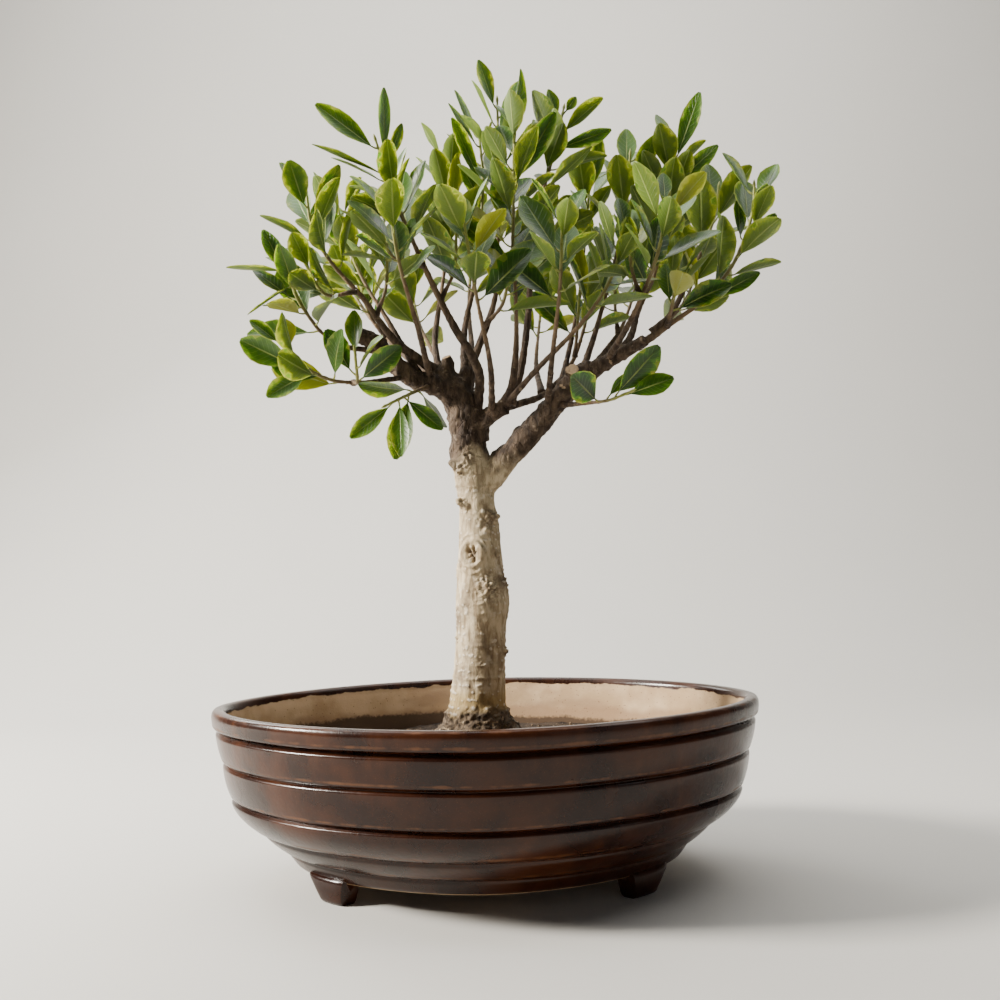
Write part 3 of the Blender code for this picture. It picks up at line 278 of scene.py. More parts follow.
LEAF_LENGTH = (29.0, 40.0)
LEAF_WIDTH_SHARE = (0.44, 0.58)
LEAF_HALF_THICKNESS = 0.35
FORESHORTEN_LIMIT = 0.40       # smallest share of its width that a turned outline leaf is taken to show
PETIOLE_LENGTH = (4.0, 6.5)
PETIOLE_HALF = 0.6
NODE_LENGTH = 1.5              # length of stem that one leaf stalk springs from
STEM_TIP_RADIUS = 0.62
BUD_LENGTH = 5.0
LIGHT_PULL = 0.18              # how strongly a leaf turns up to the light
LEAF_TRIES = 40
FOLD_LIMIT = 0.0               # least agreement between a stalk's side and the way out from its middle
LEAF_LEAN = (58.0, 24.0)       # degrees from the stem at the foot of a shoot, and how much less at its tip
LEAF_WANDER = (4.0, 2.6)       # degrees of chance in a leaf's direction, and how much more at each new try
SHOOT_SEED, OUTLINE_SEED = 4100, 500
SHOOT_TURN = 2.4               # radians from the first leaf of one shoot to that of the next
CROWN_REACH = ((-152.0, 190.6), (-128.0, 128.0), (255.0, 534.1))   # farthest that a leaf's tip reaches
LEAF_STATIONS = (0.0, 0.40, 0.74)
LEAF_CLEARANCE = 0.45


# ---------------------------------------------------------------- plan of the tree

def stack_rings(rings):
    """Closed shape through a stack of rings of equal count."""
    sides = len(rings[0])
    verts = [v for ring in rings for v in ring]
    faces = [list(reversed(range(sides)))]
    for level in range(len(rings) - 1):
        low = level * sides
        for i in range(sides):
            j = (i + 1) % sides
            faces.append([low + i, low + j, low + sides + j, low + sides + i])
    last = (len(rings) - 1) * sides
    faces.append([last + i for i in range(sides)])
    return verts, faces


def spline(points, step):
    """Smooth curve through the points, read at even steps; each point carries any number of values."""
    rows = [tuple(float(v) for v in p) for p in points]
    rows = [tuple(2 * a - b for a, b in zip(rows[0], rows[1]))] + rows
    rows.append(tuple(2 * a - b for a, b in zip(rows[-1], rows[-2])))
    fine = []
    for i in range(1, len(rows) - 2):
        p0, p1, p2, p3 = rows[i - 1:i + 3]
        for k in range(16):
            t = k / 16
            fine.append(tuple(
                0.5 * (2 * b + (c - a) * t + (2 * a - 5 * b + 4 * c - d) * t * t
                       + (3 * b - a - 3 * c + d) * t ** 3)
                for a, b, c, d in zip(p0, p1, p2, p3)))
    fine.append(rows[-2])
    travelled = [0.0]
    for a, b in zip(fine, fine[1:]):
        travelled.append(travelled[-1] + math.dist(a[:3], b[:3]))
    count = max(1, round(travelled[-1] / step))
    result, at = [], 0
    for k in range(count + 1):
        want = travelled[-1] * k / count
        while at < len(fine) - 2 and travelled[at + 1] < want:
            at += 1
        share = (want - travelled[at]) / max(travelled[at + 1] - travelled[at], 1e-9)
        result.append(tuple(a + (b - a) * share for a, b in zip(fine[at], fine[at + 1])))
    return result


def path_length(path):
    """Length along the points of a path."""
    return sum(math.dist(a[:3], b[:3]) for a, b in zip(path, path[1:]))


def point_at(path, distance):
    """Point at a distance along a path."""
    for a, b in zip(path, path[1:]):
        piece = math.dist(a[:3], b[:3])
        if distance <= piece:
            return Vector(a[:3]).lerp(Vector(b[:3]), distance / piece)
        distance -= piece
    return Vector(path[-1][:3])


def frames(path):
    """Direction and two cross directions at each point, turned as little as possible along the way."""
    points = [Vector(p[:3]) for p in path]
    directions = []
    for i in range(len(points)):
        ahead = points[min(i + 1, len(points) - 1)] - points[max(i - 1, 0)]
        directions.append(ahead.normalized())
    side = directions[0].cross(Vector((0.13, 0.97, 0.2))).normalized()
    result = []
    for i, direction in enumerate(directions):
        if i:
            side = directions[i - 1].rotation_difference(direction) @ side
        side = (side - direction * side.dot(direction)).normalized()
        result.append((direction, side, direction.cross(side)))
    return result


def tube(path, radii, sides):
    """Closed round bar along a path."""
    rings = []
    for point, radius, (_, side, up) in zip(path, radii, frames(path)):
        centre = Vector(point[:3])
        angles = [2 * math.pi * j / sides for j in range(sides)]
        rings.append([centre + (side * math.cos(a) + up * math.sin(a)) * radius for a in angles])
    return stack_rings(rings)


def limb_tube(rows, step, sides):
    """Round bar along rows of x, y, z, radius in the tree's frame."""
    path = spline(rows, step)
    return tube(path, [p[3] for p in path], sides)


def plan_twigs():
    """All twigs as a wood path with radii and a leafy path: the listed ones first, then the side twigs."""
    twigs = []
    for route, start, tip, leafy, leaves, droop in TWIGS:
        twigs.append(make_twig(spline(route, ROUTE_STEP), start, tip, leafy, leaves, droop))
    for bearer, place, turn, length, leafy, leaves in SIDE_TWIGS:
        path = spline(TWIGS[bearer][0], ROUTE_STEP)
        index = min(len(path) - 2, max(1, round(place * (len(path) - 1))))
        direction, side, up = frames(path)[index]
        angle = math.radians(turn)
        out = side * math.cos(angle) + up * math.sin(angle)
        start = Vector(path[index])
        knee = start + (out * 0.8 + direction * 0.6).normalized() * length * 0.45
        end = knee + (out * 0.35 + direction * 0.45 + Vector((0, 0, 0.8))).normalized() * length * 0.55
        twigs.append(make_twig(spline((start, knee, end), ROUTE_STEP), *SIDE_TWIG_RADII, leafy, leaves, 0.0))
    return twigs


def make_twig(path, start, tip, leafy, leaves, droop):
    """Split one twig's route where its wood ends and its green shoot starts."""
    total = path_length(path)
    wood_length = total - leafy
    wood_steps = max(2, round(wood_length / TWIG_STEP))
    wood = [point_at(path, wood_length * k / wood_steps) for k in range(wood_steps + 1)]
    radii = [start + (tip - start) * k / wood_steps for k in range(wood_steps + 1)]
    green = [point_at(path, wood_length + SHOOT_GAP + (leafy - SHOOT_GAP) * k / GREEN_STEPS)
             for k in range(GREEN_STEPS + 1)]
    return {"wood": wood, "radii": radii, "green": green, "leaves": leaves, "droop": droop, "tip": tip}


def wood_shapes(twigs):
    """Every limb, stub and twig as its own overlapping bar."""
    shapes = []
    for rows in LIMBS:
        shapes.append(limb_tube(rows, LIMB_STEP, 10))
    for start, end, wide, narrow in STUBS:
        middle = Vector(start).lerp(Vector(end), 0.55)
        rows = ((*start, wide), (*middle, (wide + narrow) / 2), (*end, narrow))
        shapes.append(limb_tube(rows, STUB_STEP, 7))
    for twig in twigs:
        sides = 6 if twig["radii"][0] > 2.5 else 5
        shapes.append(tube(twig["wood"], twig["radii"], sides))
    return shapes


def leaf_half_width(t):
    """Half width along the blade as a share of the widest: sin(pi t^1.18)^0.8, widest past the middle."""
    return math.sin(math.pi * t ** 1.18) ** 0.8 if 0 < t < 1 else 0.0


def blade_section(leaf, t, thickness):
    """Lower middle, right edge, upper middle and left edge of the blade at a share t of its length."""
    axis, normal = leaf["axis"], leaf["normal"]
    across = normal.cross(axis)
    centre = leaf["base"] + (axis * t - normal * (0.5 * leaf["curl"] * t * t)) * leaf["length"]
    up = (normal + axis * (leaf["curl"] * t)).normalized()
    half = max(leaf_half_width(t) * leaf["width"] / 2, PETIOLE_HALF)
    lift = up * (half * leaf["fold"])
    return [centre - up * thickness, centre + across * half + lift, centre + up * thickness,
            centre - across * half + lift]


def leaf_sections(leaf, extra=0.0):
    """The blade's cross-sections and its tip."""
    sections = [blade_section(leaf, t, LEAF_HALF_THICKNESS + extra) for t in LEAF_STATIONS]
    tip = leaf["base"] + (leaf["axis"] - leaf["normal"] * (0.5 * leaf["curl"])) * leaf["length"]
    return sections, tip


def least_twist(start, section):
    """How far to turn a section's corners round so that a stalk drawn from start to it twists least."""
    start_middle, middle = sum(start, Vector()) / 4, sum(section, Vector()) / 4
    return min(range(4), key=lambda turn: sum(
        ((start[a] - start_middle) - (section[(a + turn) % 4] - middle)).length_squared for a in range(4)))


def stalk_probe(face, outward, leaf):
    """The stalk and blade started just off the stem, to find a stalk that bends back into the stem."""
    sections, tip = leaf_sections(leaf)
    turn = least_twist(face, sections[0])
    foot = [corner + outward * 0.06 for corner in face]
    rings = [foot] + [section[turn:] + section[:turn] for section in sections]
    verts, faces = stack_rings(rings)
    return verts + [tip], faces


def stalk_folds(face, leaf):
    """Whether a side of the stalk would turn inside out on its way from the stem to the blade."""
    section = leaf_sections(leaf)[0][0]
    turn = least_twist(face, section)
    ends = section[turn:] + section[:turn]
    middle = (sum(face, Vector()) + sum(ends, Vector())) / 8
    for a in range(4):
        b = (a + 1) % 4
        side = (face[a], face[b], ends[b], ends[a])
        for i in range(4):
            normal = (side[(i + 1) % 4] - side[i]).cross(side[i - 1] - side[i])
            if normal.normalized().dot((side[i] - middle).normalized()) < FOLD_LIMIT:
                return True
    return False


def leaf_probe(leaf, stalk_start):
    """Slightly swollen leaf and stalk used to find clashes."""
    sections, tip = leaf_sections(leaf, LEAF_CLEARANCE)
    swollen = []
    for section in sections:
        middle = sum(section, Vector()) / 4
        swollen.append([p + (p - middle).normalized() * LEAF_CLEARANCE for p in section])
    foot = [stalk_start + (p - leaf["base"]) for p in swollen[0]]
    verts = foot + [p for section in swollen for p in section]
    verts.append(tip + leaf["axis"] * LEAF_CLEARANCE)
    faces = [[3, 2, 1, 0]]
    for level in range(len(swollen)):
        low = 4 * level
        for i in range(4):
            j = (i + 1) % 4
            faces.append([low + i, low + j, low + 4 + j, low + 4 + i])
    top = 4 * len(swollen)
    for i in range(4):
        faces.append([top + i, top + (i + 1) % 4, len(verts) - 1])
    return verts, faces


def inside_crown(point):
    """Whether a leaf's tip stays within the reach of the crown."""
    return all(low <= value <= high for value, (low, high) in zip(point, CROWN_REACH))


class Space:
    """Solids placed so far, for clash tests."""

    def __init__(self):
        self.entries = []

    def add(self, verts, faces):
        lows = [min(v[k] for v in verts) for k in range(3)]
        highs = [max(v[k] for v in verts) for k in range(3)]
        self.entries.append((lows, highs, BVHTree.FromPolygons(verts, faces)))

    def clashes(self, verts, faces):
        lows = [min(v[k] for v in verts) for k in range(3)]
        highs = [max(v[k] for v in verts) for k in range(3)]
        probe = None
        for other_lows, other_highs, tree in self.entries:
            if any(lows[k] > other_highs[k] or highs[k] < other_lows[k] for k in range(3)):
                continue
            probe = probe or BVHTree.FromPolygons(verts, faces)
            if probe.overlap(tree):
                return True
        return False


def plan_stem(twig, number):
    """Points, directions and leaf places of a green stem, with the outline leaves given to their places."""
    path = twig["green"]
    total = path_length(path)
    count = twig["leaves"]
    spacing = (total - 3.0) / count
    marks = [0.0]
    for i in range(count):
        at = spacing * (i + 0.75)
        marks += [at - NODE_LENGTH / 2, at + NODE_LENGTH / 2]
    marks.append(total)
    points = [point_at(path, mark) for mark in marks]
    axes = frames(points)
    chosen = {}
    for row in OUTLINE_LEAVES:
        if row[0] == number:
            free = [i for i in range(count) if i not in chosen]
            if free:
                stalk = Vector(row[1])
                chosen[min(free, key=lambda i: (points[2 * i + 1] - stalk).length)] = row
    rings, sides, turned = [], [], None
    for index in range(len(marks)):
        place = min(count - 1, max(0, (index - 1) // 2))
        _, side, up = axes[index]
        bearing = SHOOT_TURN * (number % 5) + LEAF_TURN * place
        if place in chosen:
            reach = Vector(chosen[place][2]) - points[index]
            bearing = math.atan2(reach.dot(up), reach.dot(side))
        if index in (0, len(marks) - 1) and turned is not None:
            start, face = turned, 0
        elif index % 2 == 0 and index > 0:
            start, face = turned, sides[-1]
        else:
            options = []
            for face in range(3):
                start = bearing - math.radians(120 * face + 60)
                twist = 0.0 if turned is None else math.remainder(start - turned, 2 * math.pi)
                options.append((abs(twist), face, start if turned is None else turned + twist))
            _, face, start = min(options)
        turned = start
        sides.append(face)
        share = marks[index] / total
        radius = twig["tip"] * 0.95 * (1 - share) + STEM_TIP_RADIUS * share
        rings.append([points[index] + (side * math.cos(start + math.radians(120) * j)
                                       + up * math.sin(start + math.radians(120) * j)) * radius
                      for j in range(3)])
    faces = [sides[2 * i + 1] for i in range(count)]
    return {"rings": rings, "axes": axes, "points": points, "faces": faces, "chosen": chosen}


def rule_leaf(twig, rng, attempt, middle, outward, direction, share):
    """A leaf by the rule of the species: leaning out from the stem, turned up to the light."""
    wander = math.radians(LEAF_WANDER[0] + LEAF_WANDER[1] * attempt)
    turn = Quaternion(direction, rng.uniform(-wander, wander) * 1.6)
    lean = math.radians(LEAF_LEAN[0] - LEAF_LEAN[1] * share) + rng.uniform(-wander, wander)
    out = turn @ outward
    axis = (direction * math.cos(lean) + out * math.sin(lean)).normalized()
    axis = (axis + Vector((0, 0, LIGHT_PULL - twig["droop"]))).normalized()
    if axis.z < 0 and twig["droop"] < 0.5:
        axis.z *= -0.6
        axis.normalize()
    normal = (direction - axis * direction.dot(axis)).normalized()
    normal = Quaternion(axis, rng.uniform(-0.5, 0.5)) @ normal
    size = rng.uniform(*LEAF_LENGTH) * (1.0 - 0.75 * max(0.0, share - 0.6)) * (1.0 - 0.012 * attempt)
    base = middle + (axis * 0.75 + outward * 0.35).normalized() * rng.uniform(*PETIOLE_LENGTH)
    return {"base": base, "axis": axis, "normal": normal, "length": size,
            "width": size * rng.uniform(*LEAF_WIDTH_SHARE), "fold": rng.uniform(0.12, 0.42),
            "curl": rng.uniform(-0.05, 0.38)}


def outline_leaf(row, rng, attempt, middle, outward):
    """A leaf whose tip, width and turn are given."""
    wander = 0.9 * attempt
    tip = Vector(row[2]) + Vector([rng.uniform(-wander, wander) for _ in range(3)])
    base = middle + ((tip - middle).normalized() * 0.7 + outward * 0.4).normalized() * PETIOLE_LENGTH[0]
    axis = (tip - base).normalized()
    front = Vector((0.0, -1.0, 0.25))
    normal = (front - axis * front.dot(axis)).normalized()
    normal = Quaternion(axis, math.radians(row[4]) + rng.uniform(-0.02, 0.02) * attempt) @ normal
    width = row[3] / max(math.cos(math.radians(row[4])), FORESHORTEN_LIMIT)
    return {"base": base, "axis": axis, "normal": normal, "length": (tip - base).length, "width": width,
            "fold": rng.uniform(0.10, 0.30), "curl": rng.uniform(0.0, 0.16)}


def plan_shoots(twigs, shapes):
    """Choose every leaf so that it clears the wood, the stems and the leaves chosen before it."""
    space = Space()
    for verts, faces in shapes + [limb_tube(TRUNK, TRUNK_STEP, TRUNK_SIDES)]:
        space.add(verts, faces)
    stems = [plan_stem(twig, number) for number, twig in enumerate(twigs)]
    for stem in stems:
        space.add(*stack_rings(stem["rings"]))
        stem["space"] = Space()
        stem["space"].add(*stack_rings(stem["rings"]))
    leaves = [{} for _ in twigs]
    for outline in (True, False):
        for number, (twig, stem) in enumerate(zip(twigs, stems)):
            rng = random.Random(SHOOT_SEED + number + OUTLINE_SEED * outline)
            for i in range(twig["leaves"]):
                if i in leaves[number] or outline and i not in stem["chosen"]:
                    continue
                low, high, side = stem["rings"][1 + 2 * i], stem["rings"][2 + 2 * i], stem["faces"][i]
                face = [low[side], low[(side + 1) % 3], high[(side + 1) % 3], high[side]]
                middle = sum(face, Vector()) / 4
                outward = (face[1] - face[0]).cross(face[3] - face[0]).normalized()
                for attempt in range(LEAF_TRIES):
                    if outline:
                        leaf = outline_leaf(stem["chosen"][i], rng, attempt, middle, outward)
                    else:
                        leaf = rule_leaf(twig, rng, attempt, middle, outward, stem["axes"][1 + 2 * i][0],
                                         (i + 0.5) / twig["leaves"])
                    probe = leaf_probe(leaf, middle + (leaf["base"] - middle) * 0.35)
                    if not inside_crown(probe[0][-1]) or stalk_folds(face, leaf):
                        continue
                    if stem["space"].clashes(*stalk_probe(face, outward, leaf)):
                        continue
                    if not space.clashes(*probe):
                        space.add(*probe)
                        leaves[number][i] = leaf
                        break
    for stem, own in zip(stems, leaves):
        stem["leaves"] = own
        stem["end"] = stem["points"][-1] + stem["axes"][-1][0] * BUD_LENGTH
    return stems


# ---------------------------------------------------------------- shader nodes

class Value:
    """A shader socket that is worked with in plain arithmetic; each operation adds a Math node."""

    def __init__(self, finish, socket):
        self.finish, self.socket = finish, socket

    def maths(self, operation, *others):
        return self.finish.node("Math", {"operation": operation}, dict(enumerate((self, *others))))

    def __add__(self, other):
        return self.maths("ADD", other)

    __radd__ = __add__

    def __sub__(self, other):
        return self.maths("SUBTRACT", other)

    def __rsub__(self, other):
        return self.finish.node("Math", {"operation": "SUBTRACT"}, {0: other, 1: self})

    def __mul__(self, other):
        return self.maths("MULTIPLY", other)

    __rmul__ = __mul__

    def __truediv__(self, other):
        return self.maths("DIVIDE", other)

    def __rtruediv__(self, other):
        return self.finish.node("Math", {"operation": "DIVIDE"}, {0: other, 1: self})

    def __abs__(self):
        return self.maths("ABSOLUTE")

    def ramp(self, low, high):
        """0 below low, 1 above high, smooth between; low may be the larger."""
        if low > high:
            return 1 - self.ramp(high, low)
        return self.finish.node("MapRange", {"interpolation_type": "SMOOTHSTEP"},
                                {"Value": self, "From Min": low, "From Max": high})


class Finish:
    """One material: a Principled shader with constant settings and the nodes that feed it."""

    def __init__(self, name, **settings):
        self.material = bpy.data.materials.new(name)
        self.material.use_nodes = True
        self.tree = self.material.node_tree
        self.shader = self.tree.nodes["Principled BSDF"]
        for key, setting in settings.items():
            self.shader.inputs[key.replace("_", " ")].default_value = setting

    def node(self, kind, settings=None, values=None, out=0):
        """Any node by its type, its settings set first, then the values or links of its sockets."""
        made = self.tree.nodes.new("ShaderNode" + kind)
        for key, setting in (settings or {}).items():
            setattr(made, key, setting)
        for key, value in (values or {}).items():
            if isinstance(value, Value):
                self.tree.links.new(value.socket, made.inputs[key])
            else:
                made.inputs[key].default_value = value
        return Value(self, made.outputs[out])

    def place(self, stretch=(1.0, 1.0, 1.0)):
        """Object coordinates, stretched."""
        place = self.node("TexCoord", out="Object")
        return self.node("Mapping", {"vector_type": "POINT"}, {"Vector": place, "Scale": stretch})

    def noise(self, scale, detail=3.0, roughness=0.55, stretch=(1.0, 1.0, 1.0)):
        """Cloudy values round 0.5; scale is in cells to the metre."""
        return self.node("TexNoise", None, {"Vector": self.place(stretch), "Scale": scale, "Detail": detail,
                                            "Roughness": roughness})

    def cells(self, scale, feature="F1", stretch=(1.0, 1.0, 1.0)):
        """Distance to the nearest of scattered points."""
        return self.node("TexVoronoi", {"feature": feature}, {"Vector": self.place(stretch), "Scale": scale})

    def marks(self, name):
        """The three values of a piece's own attribute."""
        vector = self.node("Attribute", {"attribute_name": name}, out="Vector")
        return [self.node("SeparateXYZ", None, {0: vector}, out=k) for k in range(3)]

    def blend(self, first, second, factor):
        """Colour from first to second."""
        def paint(colour):
            return colour if isinstance(colour, Value) else (*colour, 1.0)
        return self.node("Mix", {"data_type": "RGBA"}, {0: factor, 6: paint(first), 7: paint(second)}, out=2)

    def finish(self, colour, roughness, height=None, depth=0.001, strength=1.0, coat=None):
        """Feed the shader; height is a value whose 0 to 1 stands for depth in metres."""
        feeds = {"Base Color": colour, "Roughness": roughness}
        if coat is not None:
            feeds["Coat Weight"] = coat
        if height is not None:
            bump = {"Strength": strength, "Distance": depth, "Height": height}
            feeds["Normal"] = self.node("Bump", None, bump)
        for key, value in feeds.items():
            if isinstance(value, Value):
                self.tree.links.new(value.socket, self.shader.inputs[key])
            else:
                self.shader.inputs[key].default_value = value
        return self.material


def glaze_and_clay():
    """Glossy red-brown glaze, thin and lighter on ridges with a painted highlight there, speckled, over buff
    clay that is bare inside, with a soil stain low inside that painted shade deepens on the left.
    """
    f = Finish("brown_glaze_on_clay", Coat_Roughness=0.09, Coat_IOR=1.45, Specular_IOR_Level=0.22)
    bare_depth, ridge, _ = f.marks("pot_marks")
    cloud = f.noise(26.0, 4.0)
    fine = f.noise(420.0, 3.0)
    specks = f.cells(620.0).ramp(0.26, 0.12) * f.noise(90.0, 2.0).ramp(0.42, 0.60)
    streaks = f.noise(60.0, 3.0, stretch=(1.0, 1.0, 0.22))
    body = f.blend((0.0120, 0.0026, 0.0007), (0.040, 0.0100, 0.0020), cloud.ramp(0.36, 0.66))
    body = f.blend(body, (0.070, 0.020, 0.0042), streaks.ramp(0.54, 0.76) * 0.5)
    body = f.blend(body, (0.012, 0.003, 0.0012), specks * 0.7)
    body = f.blend(body, (0.100, 0.034, 0.011), f.cells(760.0).ramp(0.20, 0.09) * 0.5)
    # ridge shoulders and lip edges: lighter glaze where it wears thin, which also serves as a painted
    # highlight
    wear_and_highlight = (ridge * (f.noise(85.0, 4.0) * 1.5 + 0.1)).ramp(0.62, 1.05)
    body = f.blend(body, (0.165, 0.066, 0.024), wear_and_highlight * 0.5)
    edge = bare_depth + (f.noise(70.0, 3.0) - 0.5) * 7.0
    bare = edge.ramp(0.0, 0.9)
    clay = f.blend((0.43, 0.29, 0.165), (0.60, 0.43, 0.265), f.noise(34.0, 5.0).ramp(0.35, 0.66))
    bands = f.noise(14.0, 3.0, stretch=(1.0, 1.0, 3.0)).ramp(0.54, 0.70)
    clay = f.blend(clay, (0.30, 0.19, 0.115), bands * 0.55)
    tide = (bare_depth + (f.noise(42.0, 4.0) - 0.5) * 12.0).ramp(13.0, 19.0)
    clay = f.blend(clay, (0.30, 0.185, 0.105), tide * 0.75)
    # dark soil stain low on the inner wall, deepened on the left side as painted shade
    left = f.node("SeparateXYZ", None, {0: f.place()}, out=0).ramp(0.02, -0.03)
    soil_stain_and_left_shade = bare_depth + left * 5.5 + (f.noise(30.0, 4.0) - 0.5) * 9.0 + (fine - 0.5) * 5.0
    clay = f.blend(clay, (0.055, 0.034, 0.021), soil_stain_and_left_shade.ramp(22.5, 25.5) * 0.9)
    clay = f.blend(clay, (0.12, 0.07, 0.04), f.cells(330.0).ramp(0.16, 0.08) * 0.7)
    colour = f.blend(body, clay, bare)
    gloss = 0.22 + cloud * 0.12 + wear_and_highlight * 0.20
    rough = gloss * (1 - bare) + bare * 0.88
    height = fine * 0.25 + f.noise(120.0, 2.0) * 0.5 + bare * f.noise(900.0, 3.0) * 0.4 - wear_and_highlight * 0.15
    return f.finish(colour, rough, height, depth=0.0007, strength=0.5, coat=(1 - bare) * 0.22)


def loose_soil():
    """Dark crumbly soil with paler grit and some brown fibre."""
    f = Finish("crumbly_soil", Specular_IOR_Level=0.25)
    grain = f.noise(520.0, 5.0, 0.65)
    colour = f.blend((0.016, 0.0105, 0.0070), (0.060, 0.040, 0.026), f.noise(95.0, 5.0).ramp(0.35, 0.68))
    colour = f.blend(colour, (0.135, 0.098, 0.066), grain.ramp(0.60, 0.74) * 0.7)
    colour = f.blend(colour, (0.30, 0.24, 0.17), f.cells(260.0).ramp(0.15, 0.07) * 0.8)
    return f.finish(colour, 0.93, grain + f.noise(1500.0, 2.0) * 0.4, depth=0.0016, strength=0.9)


def dry_litter():
    """Crumbs, grit and bits of dead root and leaf that lie on the soil; each piece has a tone of its own."""
    f = Finish("dry_litter", Specular_IOR_Level=0.25)
    tone, pale, _ = f.marks("litter_marks")
    colour = f.blend((0.030, 0.019, 0.012), (0.145, 0.098, 0.060), tone)
    colour = f.blend(colour, (0.42, 0.34, 0.24), pale)
    colour = f.blend(colour, (0.02, 0.013, 0.009), f.noise(700.0, 4.0).ramp(0.50, 0.72) * 0.6)
    return f.finish(colour, 0.9, f.noise(1100.0, 4.0), depth=0.0009, strength=0.9)


def tree_bark():
    """Pale grey bark with raised pores, ochre above the roots, brown and rough on the limbs; painted shade
    darkens the scar's hollow and the crevices.
    """
    f = Finish("fig_bark", Specular_IOR_Level=0.3)
    pore, crust, cut = f.marks("bark_marks")
    dark, shaded_hollow, young = f.marks("bark_age_and_shade")
    long_grain = f.noise(260.0, 5.0, 0.6, stretch=(1.0, 1.0, 0.28))
    patch = f.noise(46.0, 4.0)
    colour = f.blend((0.26, 0.190, 0.110), (0.60, 0.49, 0.320), long_grain.ramp(0.32, 0.68))
    colour = f.blend(colour, (0.150, 0.108, 0.068), patch.ramp(0.50, 0.70) * 0.8)
    colour = f.blend(colour, (0.70, 0.61, 0.46), f.noise(130.0, 3.0).ramp(0.56, 0.74) * 0.55)
    height_here = f.node("SeparateXYZ", None, {0: f.place()}, out=2) / METRES
    ochre = (height_here + (patch - 0.5) * 16.0).ramp(123.0, 112.0)
    colour = f.blend(colour, f.blend((0.235, 0.150, 0.050), (0.40, 0.285, 0.115), long_grain.ramp(0.3, 0.7)),
                     ochre * 0.8)
    limb = f.blend((0.030, 0.018, 0.011), (0.110, 0.073, 0.046), long_grain.ramp(0.34, 0.70))
    limb = f.blend(limb, (0.27, 0.205, 0.140), f.noise(210.0, 4.0).ramp(0.61, 0.72) * 0.6)
    colour = f.blend(colour, limb, (dark + (patch - 0.5) * 0.7).ramp(0.25, 0.75))
    colour = f.blend(colour, f.blend((0.15, 0.085, 0.045), (0.235, 0.165, 0.085), long_grain), young * 0.85)
    colour = f.blend(colour, (0.60, 0.52, 0.40), pore.ramp(0.25, 0.7) * (1 - dark * 0.6) * 0.9)
    lump = f.noise(330.0, 5.0, 0.65)
    earth = f.blend((0.028, 0.018, 0.011), (0.125, 0.086, 0.052), lump.ramp(0.35, 0.68))
    colour = f.blend(colour, earth, crust)
    colour = f.blend(colour, (0.40, 0.30, 0.19), crust * f.noise(240.0, 3.0).ramp(0.60, 0.70) * 0.85)
    colour = f.blend(colour, f.blend((0.42, 0.27, 0.15), (0.60, 0.44, 0.28), f.noise(420.0, 3.0)), cut * 0.9)
    # painted shade in the scar's hollow, the knots' crevices and the grain's grooves
    colour = f.blend(colour, (0.045, 0.020, 0.012), shaded_hollow)
    cracks = f.cells(300.0, "DISTANCE_TO_EDGE", stretch=(1.0, 1.0, 0.45)).ramp(0.0, 0.10)
    height = long_grain * 0.6 + lump * (0.35 + crust * 0.8) + cracks * (0.10 + dark * 0.35) + pore * 0.3
    return f.finish(colour, 0.86 - dark * 0.08, height, depth=0.0010, strength=0.8)


def fig_leaf():
    """Waxy leaf: pale midrib, faint side veins, light rim, duller and paler beneath; stalks yellow-green."""
    f = Finish("waxy_leaf", Specular_IOR_Level=0.35, Coat_Roughness=0.20, Subsurface_Weight=0.22,
               Subsurface_Radius=(0.9, 1.0, 0.2), Subsurface_Scale=0.0016)
    along, across, top = f.marks("leaf_place")
    tone, yellow, part = f.marks("leaf_tone")
    wide = abs(across)
    vein_path = along * 10.0 - wide * 1.9
    side_vein = abs(vein_path - vein_path.maths("ROUND")).ramp(0.10, 0.02) * wide.ramp(0.98, 0.70)
    midrib = wide.ramp(0.085, 0.025)
    cloud = f.noise(120.0, 4.0)
    fresh = (tone + (cloud - 0.5) * 0.5).ramp(0.1, 0.95)
    upper = f.blend((0.0070, 0.0260, 0.0010), (0.040, 0.105, 0.0025), fresh)
    aged = (yellow + (cloud - 0.5) * 0.9 + (wide - 0.5) * 0.2).ramp(0.55, 1.0)
    upper = f.blend(upper, (0.185, 0.205, 0.006), aged)
    upper = f.blend(upper, (0.09, 0.17, 0.020), side_vein * 0.22)
    upper = f.blend(upper, (0.27, 0.32, 0.07), midrib * along.ramp(1.05, 0.2) * 0.75)
    upper = f.blend(upper, (0.17, 0.23, 0.025), wide.ramp(0.90, 1.0) * 0.5)
    under = f.blend((0.038, 0.075, 0.0055), (0.100, 0.155, 0.013), tone)
    under = f.blend(under, (0.22, 0.23, 0.014), (yellow + (cloud - 0.5) * 0.6).ramp(0.6, 1.0))
    under = f.blend(under, (0.26, 0.31, 0.07), midrib * 0.7)
    blade = f.blend(under, upper, top.ramp(0.45, 0.56))
    spots = f.cells(190.0).ramp(0.13, 0.08) * f.noise(28.0, 2.0).ramp(0.56, 0.66)
    blade = f.blend(blade, (0.085, 0.050, 0.018), spots * 0.7)
    green = (part + (cloud - 0.5) * 0.3).ramp(0.04, 0.40)
    stalk = f.blend((0.125, 0.078, 0.040), (0.26, 0.275, 0.065), green)
    colour = f.blend(stalk, blade, part.ramp(0.55, 0.9))
    on_blade = part.ramp(0.55, 0.9)
    rough = 0.56 - on_blade * top * 0.20 + (cloud - 0.5) * 0.10
    height = side_vein * 0.35 - midrib * (top - 0.5) * 1.4 + f.noise(900.0, 2.0) * 0.12
    return f.finish(colour, rough, height, depth=0.0005, strength=0.7, coat=on_blade * top * 0.14)


